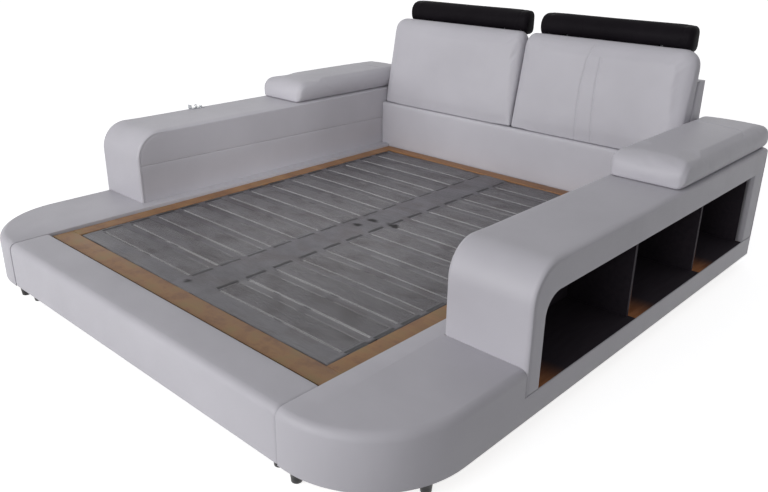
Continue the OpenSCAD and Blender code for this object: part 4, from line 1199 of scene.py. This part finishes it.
padSides = [  # (inward, back from the front, height over the foot or under the top) of its side seams
    (0.010, 0.004, 0.010), (0.009, 0.003, 0.045), (0.009, 0.018, -0.040), (0.011, 0.045, -0.020),
    (0.013, 0.085, -0.012), (0.014, 0.16, -0.010)]


def cushionLines(side):
    low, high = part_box("back_cushion_" + side)
    rise, back = math.tan(spot["slope"]), low.y + cushion["gusset"]
    fine = [[(x, low.y - 0.02 + (z - low.z) * rise, z) for x, z in row] for row in cushionSeams]
    half = [(-0.01, 0.0, low.z + 0.05), (-0.01, 0.35, low.z + 0.40), (0.05, 0.44, high.z + 0.01)]
    ring = [(low.x + x, back + y * rise, z) for x, y, z in half]
    ring += [(high.x - x, back + y * rise, z) for x, y, z in reversed(half)]
    return [ring], fine if side == "right" else []  # the gusset's seam goes round the sides and the top


def padLines(side):
    low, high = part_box("arm_pad_" + side)
    sign, top = sides[side], high.z
    inner, outer = sorted((abs(low.x), abs(high.x)))
    across = [(inner + x, y, top) for x, y in padSeam]
    across += [(outer - 0.022, 0.95, top - 0.002), (outer - 0.012, 0.925, top - 0.01)]
    rows = [[(x + inward * d, low.y + y, (low.z if z > 0 else top) + z) for d, y, z in padSides]
            for x, inward in ((outer, -1), (inner, 1))]
    return [[[(sign * x, y, z) for x, y, z in row] for row in part] for part in (rows, [across])]


def headrestLines(side):  # a ring near both ends
    low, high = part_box("headrest_" + side + "_pad")
    mid, turns = (low + high) / 2, [math.radians(t) for t in range(-90, 271, 15)]
    deep, tall = headrest["ring"]
    return [[(x, mid.y + deep * math.cos(t), mid.z + tall * math.sin(t)) for t in turns]
            for x in (low.x + headrest["band"], high.x - headrest["band"])]


def cushionForm(side):
    low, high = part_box("back_cushion_" + side)
    lean, c = spot["slope"], cushion
    tall = (high.z - low.z) / math.cos(lean) - 0.012
    corners = [(0, 0, c["bottomFront"]), (c["deep"], 0, c["bottomBack"]), (c["deep"], tall, c["topBack"]),
               (0, tall, c["topFront"])]

    def place(xs, at, out, draw, end, a, b):  # a runs from the front face back, b up the slope
        kind = "outer" if end * sides[side] < 0 else "inner"
        roundX, front, back = (p + (q - p) * eased(b) for p, q in zip(c[kind + "Bottom"], c[kind + "Top"]))
        x = alongX(xs, at, out, end, roundX, c["outerTop"][0])
        u = front * draw + a * (c["deep"] - (front + back) * draw)
        v = b * (tall - c["endDrop"] * draw)
        across = bulge((x - xs[0]) / (xs[1] - xs[0]))
        u -= c["crown"] * max(0.0, 1 - u / 0.05) * (1 - (2 * b - 1) ** 4) * (1 - (1 - across) ** 2)
        y = u - c["deep"]
        return Vector((x, slopeLow.y + y * math.cos(lean) + v * math.sin(lean) - 0.001,
                       low.z + v * math.cos(lean)))

    return softLoft("backCushion_" + side, corners, (low.x, high.x), place)


def blockForm(name, node, c, spacing=0.02):  # a pad with a rounded section and evenly rounded ends
    low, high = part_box(node)
    crown, deep = c["crown"], high.y - low.y
    tall = high.z - low.z - crown
    corners = [(0, 0, c["frontLow"]), (deep, 0, c["backLow"]), (deep, tall, c["back"]), (0, tall, c["front"])]

    def place(xs, at, out, draw, end, a, b):
        inset = c["ends"] * draw
        x = alongX(xs, at, out, end, c["ends"], c["ends"])
        across, rise = bulge((x - xs[0]) / (xs[1] - xs[0])), max(0.0, b - 0.5) * 2
        return Vector((x, low.y + inset + a * (deep - 2 * inset),
                       low.z + inset + b * (tall - 2 * inset) + crown * rise * across * (1 - (2 * a - 1) ** 4)))

    return softLoft(name, corners, (low.x, high.x), place, spacing)


slit = {"play": 0.0006, "front": math.radians(52), "rear": math.radians(22), "reach": 0.1}


def cutSlots(thing, side):  # room for the hinges and for the fixed stems at every tilt
    hinges = "headrest_" + side + "_hinges"
    low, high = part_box(hinges)
    front, rear, reach, play = slit["front"], slit["rear"], slit["reach"], slit["play"]
    y, half = (low.y + high.y) / 2, (high.y - low.y) / 2 + play
    z = low.z + half - play
    top = high.z - z + 0.0005
    section = [(-half, top), (half, top), (half, -half), (half * 2 * math.tan(rear), -half),
               (reach * math.sin(rear), -reach * math.cos(rear)),
               (-reach * math.sin(front), -reach * math.cos(front)),
               (-half, half - 0.001 - half / math.tan(front))]
    for box in islandsOf(hinges):
        tool = loftedMesh("slotTool", [[Vector((x, y + a, z + b)) for a, b in section]
                                       for x in (box[0].x - play, box[1].x + play)], False)
        cut = thing.modifiers.new("slot", "BOOLEAN")
        cut.object = tool
        cut.operation = "DIFFERENCE"
        cut.solver = "EXACT"
        bake(thing)
        bpy.data.objects.remove(tool)


def cushionRests(mesh, low):  # a cushion's foot and back stay where they lie
    co, lean = coordsOf(mesh), spot["slope"]
    depth = (slopeLow.y - co[:, 1]) * math.cos(lean) + (co[:, 2] - low.z) * math.sin(lean)
    return (co[:, 2] < low.z + cushion["lies"]) | (depth < cushion["lies"])


def padRests(mesh, low):
    return coordsOf(mesh)[:, 2] < low.z + armPad["lies"]


def headrestRests(mesh, low):  # nowhere
    return np.zeros(len(mesh.vertices), dtype=bool)


def settled(thing, low, high):  # the front of a cushion's foot is square, and sinks onto the panel's round edge
    co, r, power = coordsOf(thing.data), cushion["square"], cushion["power"]
    fade = np.clip(np.minimum(co[:, 0] - low.x, high.x - co[:, 0]) / cushion["squareEnds"], 0, 1)
    front = co[(co[:, 2] < low.z + 2 * r) & (fade >= 1)][:, 1].min()
    dy, dz = front + r - co[:, 1], low.z + r - co[:, 2]
    corner = (dy > 0) & (dz > 0)
    size = np.maximum(np.hypot(dy, dz), 1e-9)
    grow = np.ones(len(co))
    inside = [np.clip(d[corner] / size[corner], 0, 1) ** power for d in (dy, dz)]
    grow[corner] = (inside[0] + inside[1]) ** (-1 / power)
    grow = 1 + (grow - 1) * fade
    co[:, 1] = np.where(corner, front + r - dy * grow, co[:, 1])
    co[:, 2] = np.where(corner, low.z + r - dz * grow, co[:, 2])
    foot = np.clip(1 - (co[:, 2] - low.z) / cushion["footHigh"], 0, 1)
    ahead = np.clip((headHigh.y - co[:, 1]) / cushion["aheadRun"], 0, 1)
    co[:, 2] -= (cushion["sink"] + cushion["sinkAhead"] * ahead) * eased(foot)
    setCoords(thing.data, co)


for side in sides:
    node = "back_cushion_" + side
    low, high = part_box(node)
    ring, fine = cushionLines(side)
    piece = softPiece(cushionForm(side), cushion, (low, high), ring, cushionRests, fine)
    settled(piece, low, high)
    covered(piece, node)
    node = "arm_pad_" + side
    low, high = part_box(node)
    rows, fine = padLines(side)
    form = blockForm("armPad_" + side, node, armPad)
    piece = softPiece(form, armPad, (low, high), rows, padRests, fine)
    covered(piece, node)
    node = "headrest_" + side + "_pad"
    low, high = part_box(node)
    box = (low - headrest["grow"][0], high + headrest["grow"][1])
    form = blockForm("headrest_" + side, node, headrest, 0.012)
    piece = softPiece(form, headrest, box, headrestLines(side), headrestRests)
    cutSlots(piece, side)
    dress(piece, blackLeather, body="headrest_" + side, slot="black_leather", stands=[node])
print("bed: soft pieces made")


# metal pieces with worked edges, and what the remaining CAD nodes are finished with

for node, name, width, finish, slotName in (("chrome_fitting", "chromeFitting", 0.0009, chrome, "chrome"),
                                            ("headrest_brackets", "headrestBrackets", 0.0008, steel, "steel"),
                                            ("centre_legs", "centreLegs", 0.0012, steel, "steel")):
    dress(bevelledCopy(node, name, width, 2), finish, slot=slotName, stands=[node])

finishes = {  # a star stands for left and for right
    frameWoodAcross: ["foot_rail_frame", "head_rail", "headboard_frame", "headboard_front_board",
                      "headboard_slope_board", "headboard_back_board", "deck_ledgers"],
    frameWoodAlong: ["corner_frame_*", "side_rail_*", "arm_base_*", "arm_inner_board_*", "arm_outer_board_*",
                     "arm_bent_board_*", "arm_back_board_*", "headrest_*_batten"],
    blackBoard: ["arm_floor_*", "shelf_box_*", "shelf_dividers_*"],
    steel: ["headrest_*_hinges", "frame_bolts"],
}
for material, names in finishes.items():
    for name in [one.replace("*", side) for one in names for side in sides]:
        for holder in nodes[name].material_slots:
            holder.link = "OBJECT"
            holder.material = material


# camera, light and floor

view = {"place": (2.17798, -2.29669, 1.40877), "yaw": -0.744704175, "pitch": -0.389156388,
        "roll": 0.0142967407, "sensor": 36, "lens": 36.437, "clip": (0.05, 60)}


def makeCamera():
    data = bpy.data.cameras.new("camera")
    data.sensor_width = view["sensor"]
    data.lens = view["lens"]
    data.clip_start, data.clip_end = view["clip"]
    thing = newObject("camera", data)
    yaw, pitch, roll = view["yaw"], view["pitch"], view["roll"]
    ahead = Vector((math.sin(yaw) * math.cos(pitch), math.cos(yaw) * math.cos(pitch), math.sin(pitch)))
    right = ahead.cross(Vector((0, 0, 1))).normalized()
    up = right.cross(ahead)
    x = right * math.cos(roll) + up * math.sin(roll)
    y = up * math.cos(roll) - right * math.sin(roll)
    thing.matrix_world = Matrix.Translation(view["place"]) @ Matrix((x, y, -ahead)).transposed().to_4x4()
    bpy.context.scene.camera = thing


light = {
    "world": 0.34, "fromLeft": 0.10, "tint": (0.97, 0.97, 1, 1),    # even light, a little more from the left
    "floorGlow": 0.82, "floorTone": 0.6, "floorSize": 30,
}
lamps = {  # a wide sun, and two soft discs: over the right arm facing the left one, and in front
    "key": {"kind": "SUN", "energy": 1.5, "angle": math.radians(50), "color": (0.985, 0.985, 1.0),
            "aim": (0.14, 0.95, -0.27)},
    "fill": {"kind": "AREA", "energy": 3.0, "size": 0.6, "spread": math.radians(76),
             "place": (0.95, -0.45, 1.35), "aim": (-0.838, 0.253, -0.483)},
    "front": {"kind": "AREA", "energy": 26, "size": 1.6, "spread": math.radians(180),
              "place": (-0.6, -4.0, 1.6), "aim": (0.1, 1.0, -0.3)},
}


def seenOnly(tree, *rays):  # 1 for the named kinds of ray, 0 for the light that falls on the piece
    path = addNode(tree, "ShaderNodeLightPath").outputs
    seen = path[rays[0]]
    for name in rays[1:]:
        seen = calc(tree, "MAXIMUM", seen, path[name])
    return seen


def makeWorld():
    bpy.context.scene.view_settings.view_transform = "Standard"
    world = bpy.data.worlds.new("studio")
    bpy.context.scene.world = world
    world.use_nodes = True
    tree = world.node_tree
    tree.nodes.clear()
    seen = seenOnly(tree, "Is Camera Ray", "Is Glossy Ray", "Is Transmission Ray")
    across = axes(tree, addNode(tree, "ShaderNodeTexCoord").outputs["Generated"])["X"]
    fall = calc(tree, "MULTIPLY_ADD", across, -light["fromLeft"], light["world"])
    plain = addNode(tree, "ShaderNodeBackground", {"Color": light["tint"], "Strength": fall})
    white = addNode(tree, "ShaderNodeBackground", {"Color": (1, 1, 1, 1), "Strength": 1.0})
    mix = addNode(tree, "ShaderNodeMixShader", {0: seen, 1: plain.outputs[0], 2: white.outputs[0]})
    addNode(tree, "ShaderNodeOutputWorld", {"Surface": mix.outputs[0]})


def makeLamps():
    for name, one in lamps.items():
        data = bpy.data.lights.new(name, one["kind"])
        if one["kind"] == "AREA":
            data.shape = "DISK"
        for key in ("energy", "angle", "color", "size", "spread"):
            if key in one:
                setattr(data, key, one[key])
        lamp = newObject(name, data)
        lamp.visible_camera = one["kind"] == "SUN"
        lamp.location = one.get("place", (0, 0, 0))
        lamp.rotation_mode = "QUATERNION"
        lamp.rotation_quaternion = Vector(one["aim"]).to_track_quat("-Z", "Y")


def makeFloor():
    size, tone = light["floorSize"], light["floorTone"]
    floor = meshFrom("floor", [(-size, -size, 0), (size, -size, 0), (size, size, 0), (-size, size, 0)],
                     [(0, 1, 2, 3)], False)
    material, tree = emptyMaterial("floorPaint")
    paint = addNode(tree, "ShaderNodeBsdfDiffuse", {"Color": (tone, tone, tone, 1)})
    shine = addNode(tree, "ShaderNodeEmission", {"Color": (1, 1, 1, 1), "Strength": light["floorGlow"]})
    lit = addNode(tree, "ShaderNodeAddShader", {0: paint.outputs[0], 1: shine.outputs[0]})
    mix = addNode(tree, "ShaderNodeMixShader", {0: seenOnly(tree, "Is Camera Ray", "Is Glossy Ray"),
                                                1: paint.outputs[0], 2: lit.outputs[0]})
    addNode(tree, "ShaderNodeOutputMaterial", {"Surface": mix.outputs[0]})
    floor.data.materials.append(material)


makeCamera()
makeWorld()
makeLamps()
makeFloor()
print("bed: camera, light and floor set")
